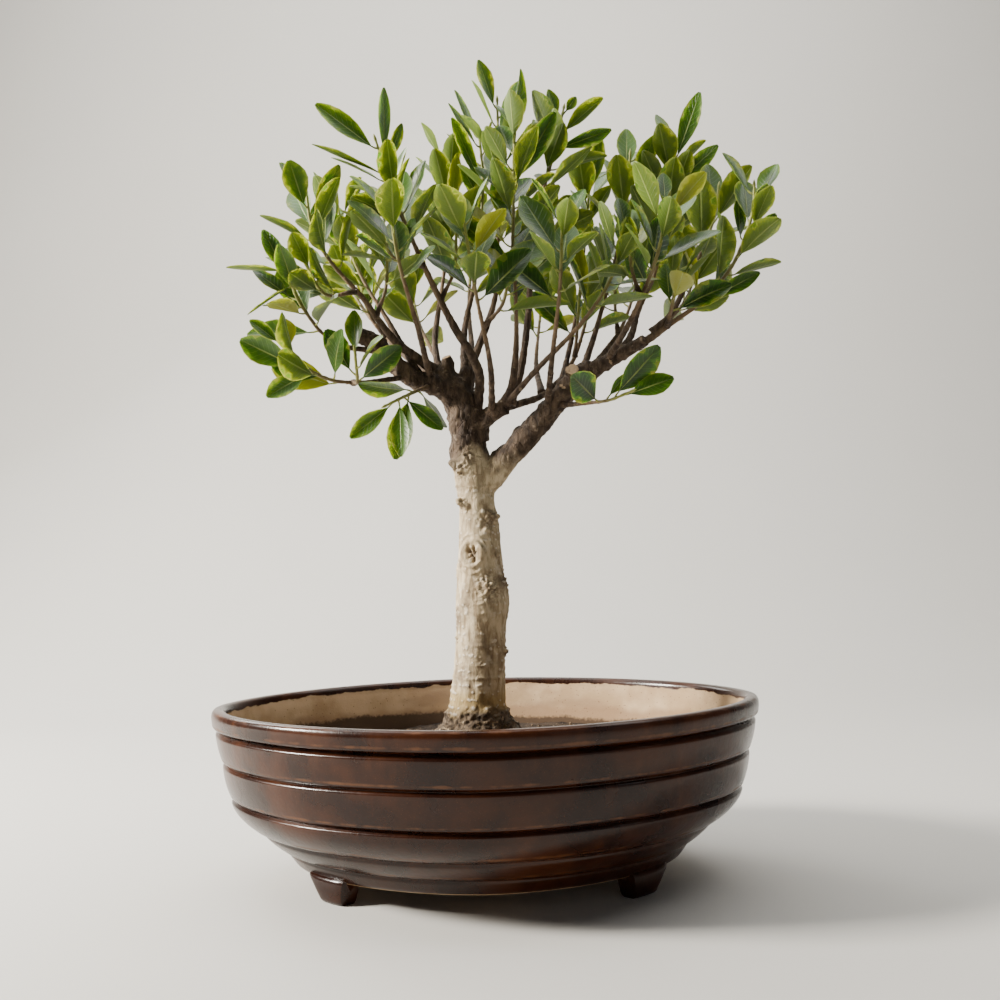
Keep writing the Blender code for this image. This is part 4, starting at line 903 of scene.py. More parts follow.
def screen_plastic():
    """Black moulded mesh, dusty with soil."""
    f = Finish("black_screen_plastic")
    dust = f.noise(260.0, 4.0).ramp(0.48, 0.68)
    colour = f.blend((0.014, 0.014, 0.015), (0.065, 0.050, 0.038), dust * 0.7)
    return f.finish(colour, 0.45 + dust * 0.35, f.noise(1400.0, 2.0), depth=0.0002, strength=0.5)


def pale_floor():
    """Matt pale warm grey."""
    f = Finish("pale_floor")
    return f.finish(f.blend((0.50, 0.485, 0.455), (0.53, 0.515, 0.485), f.noise(3.0, 2.0)), 0.9)


# ---------------------------------------------------------------- surfaces

def turns(number):
    """Even turns round a circle, in radians."""
    return np.linspace(0.0, 2.0 * np.pi, number, endpoint=False)


def power_wave(wave, power):
    """A wave made squarer or rounder by a power, with its sign kept."""
    return np.sign(wave) * np.abs(wave) ** power


def lattice(cells, seed):
    """An even random number in 0 to 1 for each whole-number cell: its three numbers hashed together."""
    mixed = cells[..., 0] * 73856093 ^ cells[..., 1] * 19349663 ^ cells[..., 2] * 83492791 ^ (seed * 2654435)
    mixed = ((mixed ^ (mixed >> 13)) * 1274126177) & 0x7FFFFFFF
    return ((mixed ^ (mixed >> 15)) & 0xFFFF) / 65535.0


def noise(points, seed=0):
    """Smooth random field in -1 to 1: corner numbers of the unit cells, eased between by 3t^2 - 2t^3."""
    cell = np.floor(points).astype(np.int64)
    part = points - cell
    part = part * part * (3.0 - 2.0 * part)
    total = np.zeros(points.shape[:-1])
    for corner in np.ndindex(2, 2, 2):
        near = np.where(np.array(corner, bool), part, 1.0 - part)
        total += near.prod(-1) * lattice(cell + np.array(corner), seed)
    return 2.0 * total - 1.0


def rough(points, size, seed=0, layers=3):
    """Noise whose largest lumps are size across, with finer layers of half the size and half the height."""
    total = np.zeros(points.shape[:-1])
    for layer in range(layers):
        total += noise(points * (2 ** layer / size) + 17.3 * layer, seed + layer) / 2 ** layer
    return total


def smooth_step(values, low, high):
    """0 before low, 1 past high, eased between; low may be the larger."""
    t = np.clip((values - low) / (high - low), 0.0, 1.0)
    return t * t * (3.0 - 2.0 * t)


class Form:
    """Vertices, faces and per-vertex marks of one piece, gathered from bars of equal grids."""

    def __init__(self):
        self.verts, self.faces, self.marks, self.count = [], [], {}, 0

    def add(self, points, **marks):
        """Bars (number, rings, sides, 3): each ring is joined round and both ends close on their middles."""
        points = np.asarray(points, float)
        if points.ndim == 3:
            points = points[None]
            marks = {name: np.asarray(value, float)[None] for name, value in marks.items()}
        number, rings, sides = points.shape[:3]
        index = np.arange(rings * sides).reshape(rings, sides)
        after = np.roll(index, -1, 1)
        quads = np.stack((index[:-1], after[:-1], after[1:], index[1:]), -1).reshape(-1, 4)
        near = np.full(sides, rings * sides)
        first_end = np.stack((after[0], index[0], near), -1)
        last_end = np.stack((index[-1], after[-1], near + 1), -1)
        ends = np.concatenate((first_end, last_end))
        each = rings * sides + 2

        def with_middles(values):
            middles = np.stack((values[:, 0].mean(1), values[:, -1].mean(1)), 1)
            corners = values.reshape(number, rings * sides, -1)
            return np.concatenate((corners, middles.reshape(number, 2, -1)), 1)

        self.verts.append(with_middles(points).reshape(-1, 3))
        for name, value in marks.items():
            value = np.broadcast_to(value, (number, rings, sides, 3))
            self.marks.setdefault(name, []).append(with_middles(value).reshape(-1, 3))
        first = self.count + each * np.arange(number)
        self.faces += (quads[None] + first[:, None, None]).reshape(-1, 4).tolist()
        self.faces += (ends[None] + first[:, None, None]).reshape(-1, 3).tolist()
        self.count += each * number
        return self

    def write(self, name, material, smooth=True, sharp=50.0):
        """Write the piece in metres in the part's frame, its faces pointing out."""
        mesh = bpy.data.meshes.new(name)
        mesh.from_pydata(((np.concatenate(self.verts) + SHIFT) * METRES).tolist(), [], self.faces)
        for mark, blocks in self.marks.items():
            layer = mesh.attributes.new(mark, "FLOAT_VECTOR", "POINT")
            layer.data.foreach_set("vector", np.concatenate(blocks).astype(np.float32).ravel())
        bm = bmesh.new()
        bm.from_mesh(mesh)
        bmesh.ops.recalc_face_normals(bm, faces=bm.faces)
        bm.to_mesh(mesh)
        bm.free()
        return show(name, mesh, material, smooth, sharp)


def show(name, mesh, material, smooth=True, sharp=50.0):
    """Link a mesh as an object with one material."""
    if smooth:
        mesh.shade_smooth()
        mesh.set_sharp_from_angle(angle=math.radians(sharp))
    mesh.materials.append(material)
    thing = bpy.data.objects.new(name, mesh)
    bpy.context.scene.collection.objects.link(thing)
    return thing


def stand_for(thing, slot, *nodes):
    """The piece rides on the part and takes the place of its solids."""
    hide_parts(*nodes)
    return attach(thing, "root")


def evaluated_mesh(thing):
    """The mesh as its modifiers leave it, written back to the object without them."""
    evaluated = thing.evaluated_get(bpy.context.evaluated_depsgraph_get())
    thing.data = bpy.data.meshes.new_from_object(evaluated)
    thing.modifiers.clear()
    return thing.data


def read_mesh(mesh):
    """Places in millimetres in the tree's frame and outward directions of a mesh's vertices."""
    places = np.zeros(len(mesh.vertices) * 3)
    mesh.vertices.foreach_get("co", places)
    outward = np.zeros(len(mesh.vertices) * 3)
    mesh.vertices.foreach_get("normal", outward)
    return places.reshape(-1, 3) / METRES - SHIFT, outward.reshape(-1, 3)


def bar(path, radii, sides):
    """Round bar: centre + radius (side cos a + up sin a) at each point; radii may vary along and around."""
    axes = frames(path)
    centre = np.array([tuple(p[:3]) for p in path])[:, None]
    side = np.array([tuple(a[1]) for a in axes])[:, None]
    up = np.array([tuple(a[2]) for a in axes])[:, None]
    angle = turns(sides)[None, :, None]
    radii = np.asarray(radii, float).reshape(len(path), -1, 1)
    return centre + (side * np.cos(angle) + up * np.sin(angle)) * radii


# ---------------------------------------------------------------- pot

def oval(angle, inset, height):
    """Pot oval |x/a|^n + |y/b|^n = 1 with a and b drawn in by inset; angle, inset and height are arrays."""
    power = 2.0 / OVAL_POWER
    x = power_wave(np.cos(angle), power) * (POT_HALF_LENGTH - inset)
    y = power_wave(np.sin(angle), power) * (POT_HALF_WIDTH - WIDTH_INSET_SHARE * inset)
    return np.stack((x, y, height + 0.0 * x), -1)


def pot_profile():
    """Inset and height of the wall's section with its ridge and bare-clay marks.

    Outer wall: straight between the course edges, less a swell sin(pi t)^0.6 in each course, plus a
    bell-shaped groove at each edge. Lip: half of a flattened ring. Inner wall: a smooth curve.
    """
    height = np.concatenate(([FOOT_HEIGHT, FOOT_HEIGHT + 0.4, FOOT_HEIGHT + 1.2],
                             np.arange(FOOT_HEIGHT + 2.5, RIM_BAND[-1][0], 0.72)))
    edges = [(FOOT_HEIGHT, BASE_INSET), *reversed(COURSE_EDGES), *RIM_BAND]
    inset = np.interp(height, [e[0] for e in edges], [e[1] for e in edges])
    for (top, _), (low, _), swell in zip(COURSE_EDGES, COURSE_EDGES[1:], COURSE_SWELL):
        share = np.clip((height - low) / (top - low), 0.0, 1.0)
        inset -= swell * np.sin(np.pi * share) ** 0.6
    # ridge: where the shader lightens the glaze above each groove, as wear and as a painted highlight
    ridge = np.zeros(len(height))
    for place, depth, width in GROOVES:
        inset += depth * np.exp(-((height - place) / width) ** 2)
        ridge = np.maximum(ridge, np.exp(-((height - place - 3.0 * width) / (1.5 * width)) ** 2))
    inset[:3] += (1.6, 0.7, 0.2)
    turn = np.linspace(0.0, np.pi, 22)[1:-1]
    half = LIP_WIDTH / 2
    lip_inset = half - half * power_wave(np.cos(turn), 0.75)
    lip_height = RIM_BAND[-1][0] + LIP_RISE * np.sin(turn) ** 0.72
    # the lip's two edges get the same ridge mark: wear and painted highlight
    ridge_lip = 0.9 * np.exp(-((turn - 0.9) / 0.5) ** 2) + 0.5 * np.exp(-((turn - 2.2) / 0.4) ** 2)
    inner = np.array(spline([(i, 0.0, z) for z, i in INNER_WALL], 1.3))
    inset = np.concatenate((inset, lip_inset, inner[:, 0]))
    lip_bare = np.where(turn < np.pi / 2, -6.0, GLAZE_LINE - lip_height)
    bare = np.concatenate((np.full(len(height), -BARE_CLAY), lip_bare, GLAZE_LINE - inner[:, 2]))
    ridge = np.concatenate((ridge, ridge_lip, np.zeros(len(inner))))
    height = np.concatenate((height, lip_height, inner[:, 2]))
    bare[height < FOOT_HEIGHT + 0.8] = BARE_CLAY
    return inset, height, ridge, bare


def foot_rings(side, front):
    """One bracket foot: a rounded block that follows the oval and narrows to its sole.

    Section at each angle: corners (|cos|, |sin|)^0.35 of a box between the outer and inner insets.
    """
    around = turns(28)[None]
    along = np.linspace(0.0, 1.0, 15)[:, None]
    ends = np.sin(np.pi * np.clip(along, 0.004, 0.996)) ** 0.22
    u = power_wave(np.cos(around), 0.35) * (0.80 + 0.20 * ends)
    w = power_wave(np.sin(around), 0.35)
    rise = (w + 1.0) / 2
    height = rise * (FOOT_HEIGHT + 3.0) + 0.0 * along
    outer = FOOT_INSET + 2.5 - 1.0 * rise - 0.8 * np.sin(np.pi * rise)
    inner = FOOT_INSET + FOOT_THICKNESS + 3.0 * rise
    inset = (outer + inner) / 2 - u * (inner - outer) / 2
    low = FOOT_SOLE[0] + (FOOT_TOP[0] - FOOT_SOLE[0]) * rise ** 1.6
    high = FOOT_SOLE[1] + (FOOT_TOP[1] - FOOT_SOLE[1]) * rise
    points = oval(np.radians(low + (high - low) * along), inset, height)
    points[..., 0] *= side
    points[..., 1] *= front
    return points


def corner_keys(mesh):
    """One whole number for each corner of a mesh, from its place to a hundredth of a millimetre."""
    return np.round(read_mesh(mesh)[0] * 100.0).astype(np.int64) @ np.array((1, 10 ** 6, 10 ** 12))


def make_pot(material):
    """Wall, floor and feet in one skin, with two drain holes cut through."""
    inset, height, ridge, bare = pot_profile()
    angle = turns(POT_SIDES)[None]
    level = height[:, None]
    waver = 0.35 * np.sin(3.0 * angle + 0.06 * level) + 0.22 * np.sin(7.0 * angle - 0.1 * level)
    waver = waver * smooth_step(level, 16.0, 40.0) * smooth_step(level, 111.5, 100.0)
    wall = oval(angle, inset[:, None] + np.abs(waver), level)
    shares = np.array((0.18, 0.4, 0.6, 0.8, 0.93))[:, None, None]
    under = wall[:1] * shares * (1, 1, 0) + (0, 0, FOOT_HEIGHT)
    floor = wall[-1:] * shares[::-1] * (1, 1, 0) + (0, 0, FOOT_HEIGHT + FLOOR_THICKNESS)
    flat = len(shares)
    ridge = np.concatenate((np.zeros(flat), ridge, np.zeros(flat)))
    bare = np.concatenate((np.full(flat, BARE_CLAY), bare, np.full(flat, 2.0 * BARE_CLAY)))
    marks = np.broadcast_to(np.stack((bare, ridge, 0.0 * ridge), -1)[:, None], (len(bare), POT_SIDES, 3))
    form = Form().add(np.concatenate((under, wall, floor)), pot_marks=marks)
    pot = form.write("glazed_pot", material, sharp=60.0)
    known = corner_keys(pot.data)
    feet = Form()
    for side in (-1, 1):
        for front in (-1, 1):
            rings = foot_rings(side, front)
            feet.add(rings, pot_marks=np.full(rings.shape, (-BARE_CLAY, 0.25, 0.0)))
    holes = Form()
    for side in (-1, 1):
        foot = (side * DRAIN_OFFSET, 0.0, FOOT_HEIGHT - CUT_PAST)
        top = (side * DRAIN_OFFSET, 0.0, FOOT_HEIGHT + FLOOR_THICKNESS + CUT_PAST)
        rings = bar([foot, top], [DRAIN_RADIUS, DRAIN_RADIUS], 40)
        holes.add(rings, pot_marks=np.full(rings.shape, (BARE_CLAY, 0.0, 0.0)))
    for tool, operation in ((feet, "UNION"), (holes, "DIFFERENCE")):
        cutter = tool.write("tool", material)
        modifier = pot.modifiers.new(operation.lower(), "BOOLEAN")
        modifier.operation, modifier.solver, modifier.object = operation, "EXACT", cutter
        evaluated_mesh(pot)
        bpy.data.objects.remove(cutter, do_unlink=True)
    places, _ = read_mesh(pot.data)
    layer = pot.data.attributes["pot_marks"]
    marks = np.zeros(len(places) * 3)
    layer.data.foreach_get("vector", marks)
    marks = marks.reshape(-1, 3)
    off_drains = np.hypot(np.abs(places[:, 0]) - DRAIN_OFFSET, places[:, 1]) > DRAIN_RADIUS + 2.0
    at_foot = ~np.isin(corner_keys(pot.data), known) & off_drains & (places[:, 2] < FOOT_HEIGHT + 16.0)
    marks[at_foot] = (-BARE_CLAY, 0.3, 0.0)
    layer.data.foreach_set("vector", marks.ravel())
    return stand_for(pot, "brown_glaze", "pot")


def make_screens(material):
    """Two squares of open mesh: a layer of bars along X under a layer along Y."""
    size = SCREEN_HIGH.x - SCREEN_LOW.x
    thick = SCREEN_HIGH.z - SCREEN_LOW.z
    for number, side in enumerate((-1, 1), start=1):
        centre = np.array((side * DRAIN_OFFSET, 0.0, (SCREEN_LOW.z + SCREEN_HIGH.z) / 2))
        form = Form()
        for along, across, level in ((0, 1, -0.2), (1, 0, 0.2)):
            places = np.linspace(-0.5, 0.5, SCREEN_BARS) * (size - 2.0 * SCREEN_BAR_HALF)
            starts = np.zeros((SCREEN_BARS, 2, 1, 3)) + centre
            starts[..., along] += np.array((-0.5, 0.5))[None, :, None] * size
            starts[..., across] += places[:, None, None]
            starts[..., 2] += level * thick
            turn = turns(6)
            ring = np.zeros((1, 1, 6, 3))
            ring[..., across] = np.cos(turn) * SCREEN_BAR_HALF
            ring[..., 2] = np.sin(turn) * thick * 0.3
            form.add(starts + ring)
        screen = form.write(f"open_drain_screen_{number}", material)
        stand_for(screen, "black_plastic", f"drain_screen_{number}")


# ---------------------------------------------------------------- soil

def soil_height(x, y):
    """Height of the soil, mounded at the trunk, with lumps and grains."""
    away = np.hypot(x - TRUNK[0][0], y - TRUNK[0][1])
    mound = SOIL_MOUND * np.exp(-(away / 48.0) ** 2)
    ripple = 0.9 * np.sin(x * 0.071 + 1.3) * np.cos(y * 0.083 - 0.4)
    spot = np.stack((x, y, 0.0 * x), -1)
    lumps = 1.3 * rough(spot, 17.0, 3) + 0.8 * np.abs(rough(spot, 5.0, 7)) + 0.35 * rough(spot, 2.2, 11, 2)
    return SOIL_AT_WALL + mound + ripple + lumps


def make_soil(material):
    """Soil as one lump: rings up the pot's inner wall, then rings inwards over the uneven top."""
    angle = turns(SOIL_SIDES)[None]
    inner = np.array(spline([(i, 0.0, z) for z, i in INNER_WALL], 2.0))
    inner = inner[inner[:, 2] < SOIL_AT_WALL - 2.0][::-1]
    floor = FOOT_HEIGHT + FLOOR_THICKNESS + GAP
    wall = oval(angle, inner[:, :1] + 0.5, np.maximum(inner[:, 2:], floor))
    share = np.array((0.25, 0.5, 0.75, 0.93))[:, None, None]
    under = wall[:1] * share * (1, 1, 0) + (0, 0, floor)
    room, rise = SCREEN_ROOM
    near = (np.abs(np.abs(under[..., 0]) - DRAIN_OFFSET) < room) & (np.abs(under[..., 1]) < room)
    under[..., 2] += near * rise
    heights, insets = zip(*reversed(INNER_WALL))
    edge_inset = np.interp(SOIL_AT_WALL, heights, insets)
    share = np.linspace(1.0, 0.02, SOIL_RINGS)[:, None]
    rim = oval(angle, edge_inset + 0.7, SOIL_AT_WALL)
    x, y = rim[..., 0] * share, rim[..., 1] * share
    top = np.stack((x, y, soil_height(x, y)), -1)
    soil = Form().add(np.concatenate((under, wall, top))).write("potting_soil", material, sharp=180.0)
    return stand_for(soil, "dark_soil", "soil")


def make_litter(material):
    """Crumbs, grit and fibres on the soil, all in one piece: lumpy balls and bent little bars."""
    draw = np.random.default_rng(LITTER_SEED)
    form = Form()
    number = CRUMBS
    spread = np.sqrt(draw.random(number))
    angle = draw.random(number) * 2.0 * np.pi
    near_trunk = draw.random(number) < 0.30
    reach = np.where(near_trunk, 26.0 + 26.0 * draw.random(number), 0.0)
    spot = oval(angle, 24.0, 0.0)[:, :2] * spread[:, None]
    close = np.stack((np.cos(angle) * reach + TRUNK[0][0], np.sin(angle) * reach * 0.8 + TRUNK[0][1]), -1)
    spot = np.where(near_trunk[:, None], close, spot)
    size = 0.5 + 1.5 * draw.random(number) ** 2.5
    lat = np.radians(np.array((-62.0, -22.0, 22.0, 62.0)))[None, :, None]
    lon = turns(6)[None, None]
    ball = (np.cos(lat) * np.cos(lon), np.cos(lat) * np.sin(lon), np.sin(lat))
    ball = np.stack(np.broadcast_arrays(*ball), -1)
    lumps = 1.0 + 0.35 * (draw.random((number, 4, 6)) - 0.5)
    stretch = 0.6 + 0.8 * draw.random((number, 1, 1, 3))
    balls = ball * (lumps * size[:, None, None])[..., None] * stretch
    ground = soil_height(spot[:, 0], spot[:, 1]) + 0.25 * size
    balls = balls + np.concatenate((spot, ground[:, None]), 1)[:, None, None]
    tone = draw.random(number)
    pale = (draw.random(number) < 0.09) * 0.9
    marks = np.stack((tone, pale, 0.0 * tone), -1)[:, None, None]
    form.add(balls, litter_marks=marks)

    number = FIBRES
    spread = 0.15 + 0.85 * np.sqrt(draw.random(number))
    angle = draw.random(number) * 2.0 * np.pi
    start = oval(angle, 30.0, 0.0)[:, :2] * spread[:, None]
    heading = draw.random(number) * 2.0 * np.pi
    length = 4.0 + 11.0 * draw.random(number) ** 2
    t = np.linspace(0.0, 1.0, 5)[None]
    bend = (draw.random(number) - 0.5)[:, None] * np.sin(np.pi * t) * length[:, None] * 0.5
    x = start[:, :1] + np.cos(heading)[:, None] * length[:, None] * t - np.sin(heading)[:, None] * bend
    y = start[:, 1:] + np.sin(heading)[:, None] * length[:, None] * t + np.cos(heading)[:, None] * bend
    lift = 0.5 + (draw.random(number)[:, None] ** 3) * 5.0 * t
    centre = np.stack((x, y, soil_height(x, y) + lift), -1)[:, :, None]
    turn = turns(5)[None, None]
    thick = (0.25 + 0.35 * draw.random(number))[:, None, None] * (1.0 - 0.5 * t[..., None])
    cross = np.stack((-np.sin(heading), np.cos(heading), 0.0 * heading), -1)[:, None, None]
    upright = np.array((0.0, 0.0, 1.0)) * (np.sin(turn) * thick)[..., None]
    fibres = centre + cross * (np.cos(turn) * thick)[..., None] + upright
    tone = 0.4 + 0.6 * draw.random(number)
    marks = np.stack((tone, 0.35 * (draw.random(number) < 0.3), 0.0 * tone), -1)[:, None, None]
    form.add(fibres, litter_marks=marks)
    litter = form.write("soil_crumbs_and_fibres", material, sharp=180.0)
    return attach(litter, "root")


# ---------------------------------------------------------------- wood

SKIN_CELL = 0.72               # size of the even cells that the trunk's skin is made of
SCAR = (-6.0, -9.0, 204.5, 5.6, 7.8)     # middle of the healed branch scar, half width and half height
# gnarled places on the trunk: x, y, z, reach
KNOTS = ((5.0, -14.0, 183.0, 8.5), (-14.5, -4.0, 238.0, 5.0), (9.0, -4.0, 228.0, 6.5),
         (4.0, -11.0, 221.0, 4.5), (14.5, -4.0, 141.5, 5.0), (14.0, 0.0, 186.0, 6.0),
         (-16.5, -4.0, 168.0, 2.6), (-17.0, -4.0, 150.0, 2.4), (12.0, -6.0, 204.0, 4.0),
         (-8.0, 16.0, 160.0, 6.0), (6.0, 18.0, 196.0, 6.5), (-6.0, 17.0, 222.0, 5.0),
         (-12.0, -4.0, 259.0, 5.0), (-6.0, -6.0, 268.0, 5.0), (-17.0, 10.0, 190.0, 4.0))
# heights of the rings that go round the trunk
WRINKLES = (126.0, 134.0, 147.0, 166.0, 172.0, 193.0, 196.0, 215.0, 231.0, 243.0, 249.0)
FIRST_SAWN_STUB = 6            # stubs from here on end in a sawn face; the ones before it are worn
WORN_STUB = (0.8, 0.55)        # what is left of a worn stub's length and of its end
PORES = 620
PORE_SEED = 5
PORE_ROWS = (103.0, 4.6, 34.0)   # height of the lowest row, from one row to the next, number of rows
TWIG_RING_STEP = 1.6
TWIG_SIDES = 12


def limb_rings(rows, step, sides, seed, uneven=0.05):
    """Rings of a limb: radius times 1 + uneven (two slow flutes and noise)."""
    path = spline(rows, step)
    angle = turns(sides)[None]
    along = np.arange(len(path))[:, None] * step
    flutes = np.sin(2.0 * angle + 0.03 * along + seed)
    flutes = flutes + 0.7 * np.sin(3.0 * angle - 0.045 * along + 2.0 * seed)
    ring = np.stack(np.broadcast_arrays(np.cos(angle) * 1.7, np.sin(angle) * 1.7, along / 14.0), -1)
    radius = np.array([p[3] for p in path])[:, None]
    return bar(path, radius * (1.0 + uneven * (0.6 * flutes + noise(ring, seed))), sides)


def wood_core():
    """Trunk, roots, limbs and stubs as overlapping bars, melted into one even skin."""
    form = Form()
    form.add(limb_rings(TRUNK, 2.5, 64, 1, 0.035))
    for number, rows in enumerate(ROOTS):
        form.add(limb_rings(rows, 3.0, 24, 20 + number, 0.12))
    for number, rows in enumerate(LIMBS):
        form.add(limb_rings(rows, 2.5, 32, 40 + number, 0.06))
    for number, (start, end, wide, narrow) in enumerate(STUBS):
        if number < FIRST_SAWN_STUB:
            end = tuple(a + (b - a) * WORN_STUB[0] for a, b in zip(start, end))
            narrow *= WORN_STUB[1]
        middle = tuple(a + (b - a) * 0.55 for a, b in zip(start, end))
        rows = ((*start, wide * 1.1), (*middle, (wide + narrow) / 2), (*end, narrow))
        form.add(limb_rings(rows, 1.5, 24, 60 + number, 0.10))
    core = form.write("trunk_and_limbs", None)
    melt = core.modifiers.new("melt", "REMESH")
    melt.mode = "VOXEL"
    melt.voxel_size = SKIN_CELL * METRES
    ease = core.modifiers.new("ease", "SMOOTH")
    ease.factor = 0.5
    ease.iterations = 5
    return core


def bells(places, centres, widths):
    """Sum of bell-shaped bumps exp(-(distance / width)^2) round many centres."""
    total = np.zeros(len(places))
    for centre, width in zip(centres, widths):
        near = np.abs(places[:, 2] - centre[2]) < 3.0 * width
        away = ((places[near] - centre) ** 2).sum(-1)
        total[near] += np.exp(-away / width ** 2)
    return total


def trunk_line(z):
    """Middle and radius of the trunk at a height."""
    rows = np.array([row for row in TRUNK if row[2] <= 286], float)
    return [np.interp(z, rows[:, 2], rows[:, k]) for k in (0, 1, 3)]


def make_wood(material):
    """Skin of the core pushed out and in along its normals by bark, pores, scars, knots and root crust."""
    core = wood_core()
    mesh = evaluated_mesh(core)
    places, outward = read_mesh(mesh)
    z = places[:, 2]
    draw = np.random.default_rng(PORE_SEED)
    dark = smooth_step(z + 16.0 * rough(places, 24.0, 31, 2), *BARK_TURNS_DARK)
    crust = smooth_step(z + 5.0 * rough(places, 9.0, 33, 2), CRUST_TOP + 3.0, CRUST_TOP - 6.0)
    grain = rough(places * (1.0, 1.0, 0.35), 3.6, 35)
    push = 0.30 * grain + 0.45 * rough(places * (1.0, 1.0, 0.6), 9.0, 36, 2)
    push += dark * (1.2 * np.abs(rough(places, 5.0, 37)) + 0.9 * rough(places, 9.0, 38) - 0.2)
    push += crust * (2.3 * np.abs(rough(places, 7.0, 39)) + 1.1 * np.abs(rough(places, 3.0, 40, 2)) - 0.3)

    lowest, apart, rows = PORE_ROWS
    pore_z = lowest + apart * np.floor(rows * draw.random(PORES) ** 1.5) + draw.normal(0.0, 0.5, PORES)
    pore_turn = draw.random(PORES) * 2.0 * np.pi
    x, y, radius = trunk_line(pore_z)
    pores = np.stack((x + radius * np.cos(pore_turn), y + radius * np.sin(pore_turn), pore_z), -1)
    size = 0.55 + 0.45 * draw.random(PORES) ** 2
    wider = np.array((0.75, 0.75, 1.0))
    pore = bells(places * wider, pores * wider, size)
    push += 0.42 * np.minimum(pore, 1.0)

    rings = np.zeros(len(places))
    for height in WRINKLES:
        rings += np.exp(-((z + 2.2 * rough(places, 12.0, 41, 2) - height) / 0.9) ** 2)
    push += 0.55 * rings * (0.4 + 0.6 * smooth_step(noise(places / 9.0, 42), -0.3, 0.5)) * (1.0 - crust)

    knots = bells(places, [row[:3] for row in KNOTS], [row[3] for row in KNOTS])
    gnarl = np.abs(rough(places * (1.0, 1.0, 1.3), 3.4, 43))
    push += knots * (3.0 * gnarl - 1.2) + 1.0 * knots ** 2
    # painted shade for the deep crevices of the knots
    crevice_shade = knots * smooth_step(gnarl, 0.40, 0.10)

    front = smooth_step(-outward[:, 1], 0.0, 0.5) * (np.abs(z - SCAR[2]) < 16.0)
    reach = np.sqrt(((places[:, 0] - SCAR[0]) / SCAR[3]) ** 2 + ((z - SCAR[2]) / SCAR[4]) ** 2)
    lip = np.exp(-((reach - 1.05) / 0.26) ** 2) + 0.5 * np.exp(-((reach - 1.62) / 0.14) ** 2)
    shaded_hollow = smooth_step(reach + 0.25 * noise(places / 2.2, 44), 0.78, 0.42) * front
    push += front * 1.9 * lip - 4.4 * shaded_hollow
    # the scar's hollow, the knots' crevices and the grain's grooves are darkened as painted shade
    shaded_hollow = np.maximum(shaded_hollow, 0.75 * crevice_shade)
    shaded_hollow = np.maximum(shaded_hollow, 0.35 * smooth_step(-grain, 0.55, 1.1) * (0.3 + 0.7 * dark))

    cut = np.zeros(len(places))
    for start, end, _, narrow in STUBS[FIRST_SAWN_STUB:]:
        start, end = np.array(start, float), np.array(end, float)
        along = (end - start) / np.linalg.norm(end - start)
        away = places - end
        level = away @ along
        aside = np.linalg.norm(away - level[:, None] * along, axis=1)
        cut = np.maximum(cut, (np.abs(level) < 1.3) * (aside < narrow * 0.92) * (outward @ along > 0.6))
    push *= 1.0 - 0.7 * cut

    moved = places + outward * push[:, None]
    mesh.vertices.foreach_set("co", ((moved + SHIFT) * METRES).ravel())
    # second channel of the age marks carries the painted shade
    kinds = {"bark_marks": (np.minimum(pore, 1.0), crust, cut), "bark_age_and_shade": (dark, shaded_hollow, 0.0 * z)}
    for name, values in kinds.items():
        layer = mesh.attributes.new(name, "FLOAT_VECTOR", "POINT")
        layer.data.foreach_set("vector", np.stack(values, -1).astype(np.float32).ravel())
    mesh.update()
    mesh.shade_smooth()
    mesh.materials.clear()
    mesh.materials.append(material)
    return stand_for(core, "grey_bark", "trunk_and_branches")


def make_twigs(twigs, material):
    """Twigs: tapered bars with a swollen foot, old leaf-scar rings and a rough skin."""
    form = Form()
    for number, twig in enumerate(twigs):
        wood = spline([tuple(p) + (r,) for p, r in zip(twig["wood"], twig["radii"])], TWIG_RING_STEP)
        travelled = np.arange(len(wood))[:, None] * TWIG_RING_STEP
        angle = turns(TWIG_SIDES)[None]
        radius = np.array([p[3] for p in wood])[:, None]
        share = travelled / max(travelled.max(), 1.0)
        spacing = 7.5 - 2.5 * share
        ring = np.abs((travelled / spacing + 0.31 * number) % 1.0 - 0.5) * spacing
        scars = np.exp(-(ring / 0.55) ** 2)
        swell = 0.45 * np.exp(-travelled / 5.0)
        spot = np.stack(np.broadcast_arrays(np.cos(angle) * 1.3, np.sin(angle) * 1.3, travelled / 3.0), -1)
        lump = noise(spot, 300 + number)
        radius = radius * (1.0 + swell + 0.13 * lump * (1.0 - 0.5 * share)) + 0.26 * scars
        zero = 0.0 * lump
        young = smooth_step(share, 0.45, 1.0) * 0.85 + zero
        marks = np.stack((0.45 * scars * (0.5 + 0.5 * lump), zero, zero), -1)
        age = np.stack((0.86 - 0.18 * young + zero, zero, young), -1)
        form.add(bar(wood, radius, TWIG_SIDES), bark_marks=marks, bark_age_and_shade=age)
    thing = form.write("twigs", material, sharp=180.0)
    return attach(thing, "root")


# ---------------------------------------------------------------- leaves

# rings along the blade, and for each of a ring's eight corners its place across and whether it is on top
BLADE_STATIONS = np.array((0.012, 0.07, 0.19, 0.34, 0.50, 0.66, 0.81, 0.92, 0.975))
ACROSS = np.array((-1.0, -0.5, 0.0, 0.5, 1.0, 0.5, 0.0, -0.5))
TOP = np.array((0.5, 1.0, 1.0, 1.0, 0.5, 0.0, 0.0, 0.0))
STALK_RADIUS = 0.62
STALK_END_HALF = 0.45          # half width of the blade where the stalk meets it
STEM_RING_STEP = 2.0
STEM_IN_TWIG = 2.0             # how far the green stem starts inside the end of its twig
BUD_SHARES = np.array((0.2, 0.45, 0.7, 0.9, 0.99))
LEAF_SEED = 9000
YELLOW_SHARE = 0.07            # share of the leaves that are turning yellow


def half_width(t):
    """leaf_half_width for whole arrays."""
    return np.sin(np.pi * t ** 1.18) ** 0.8


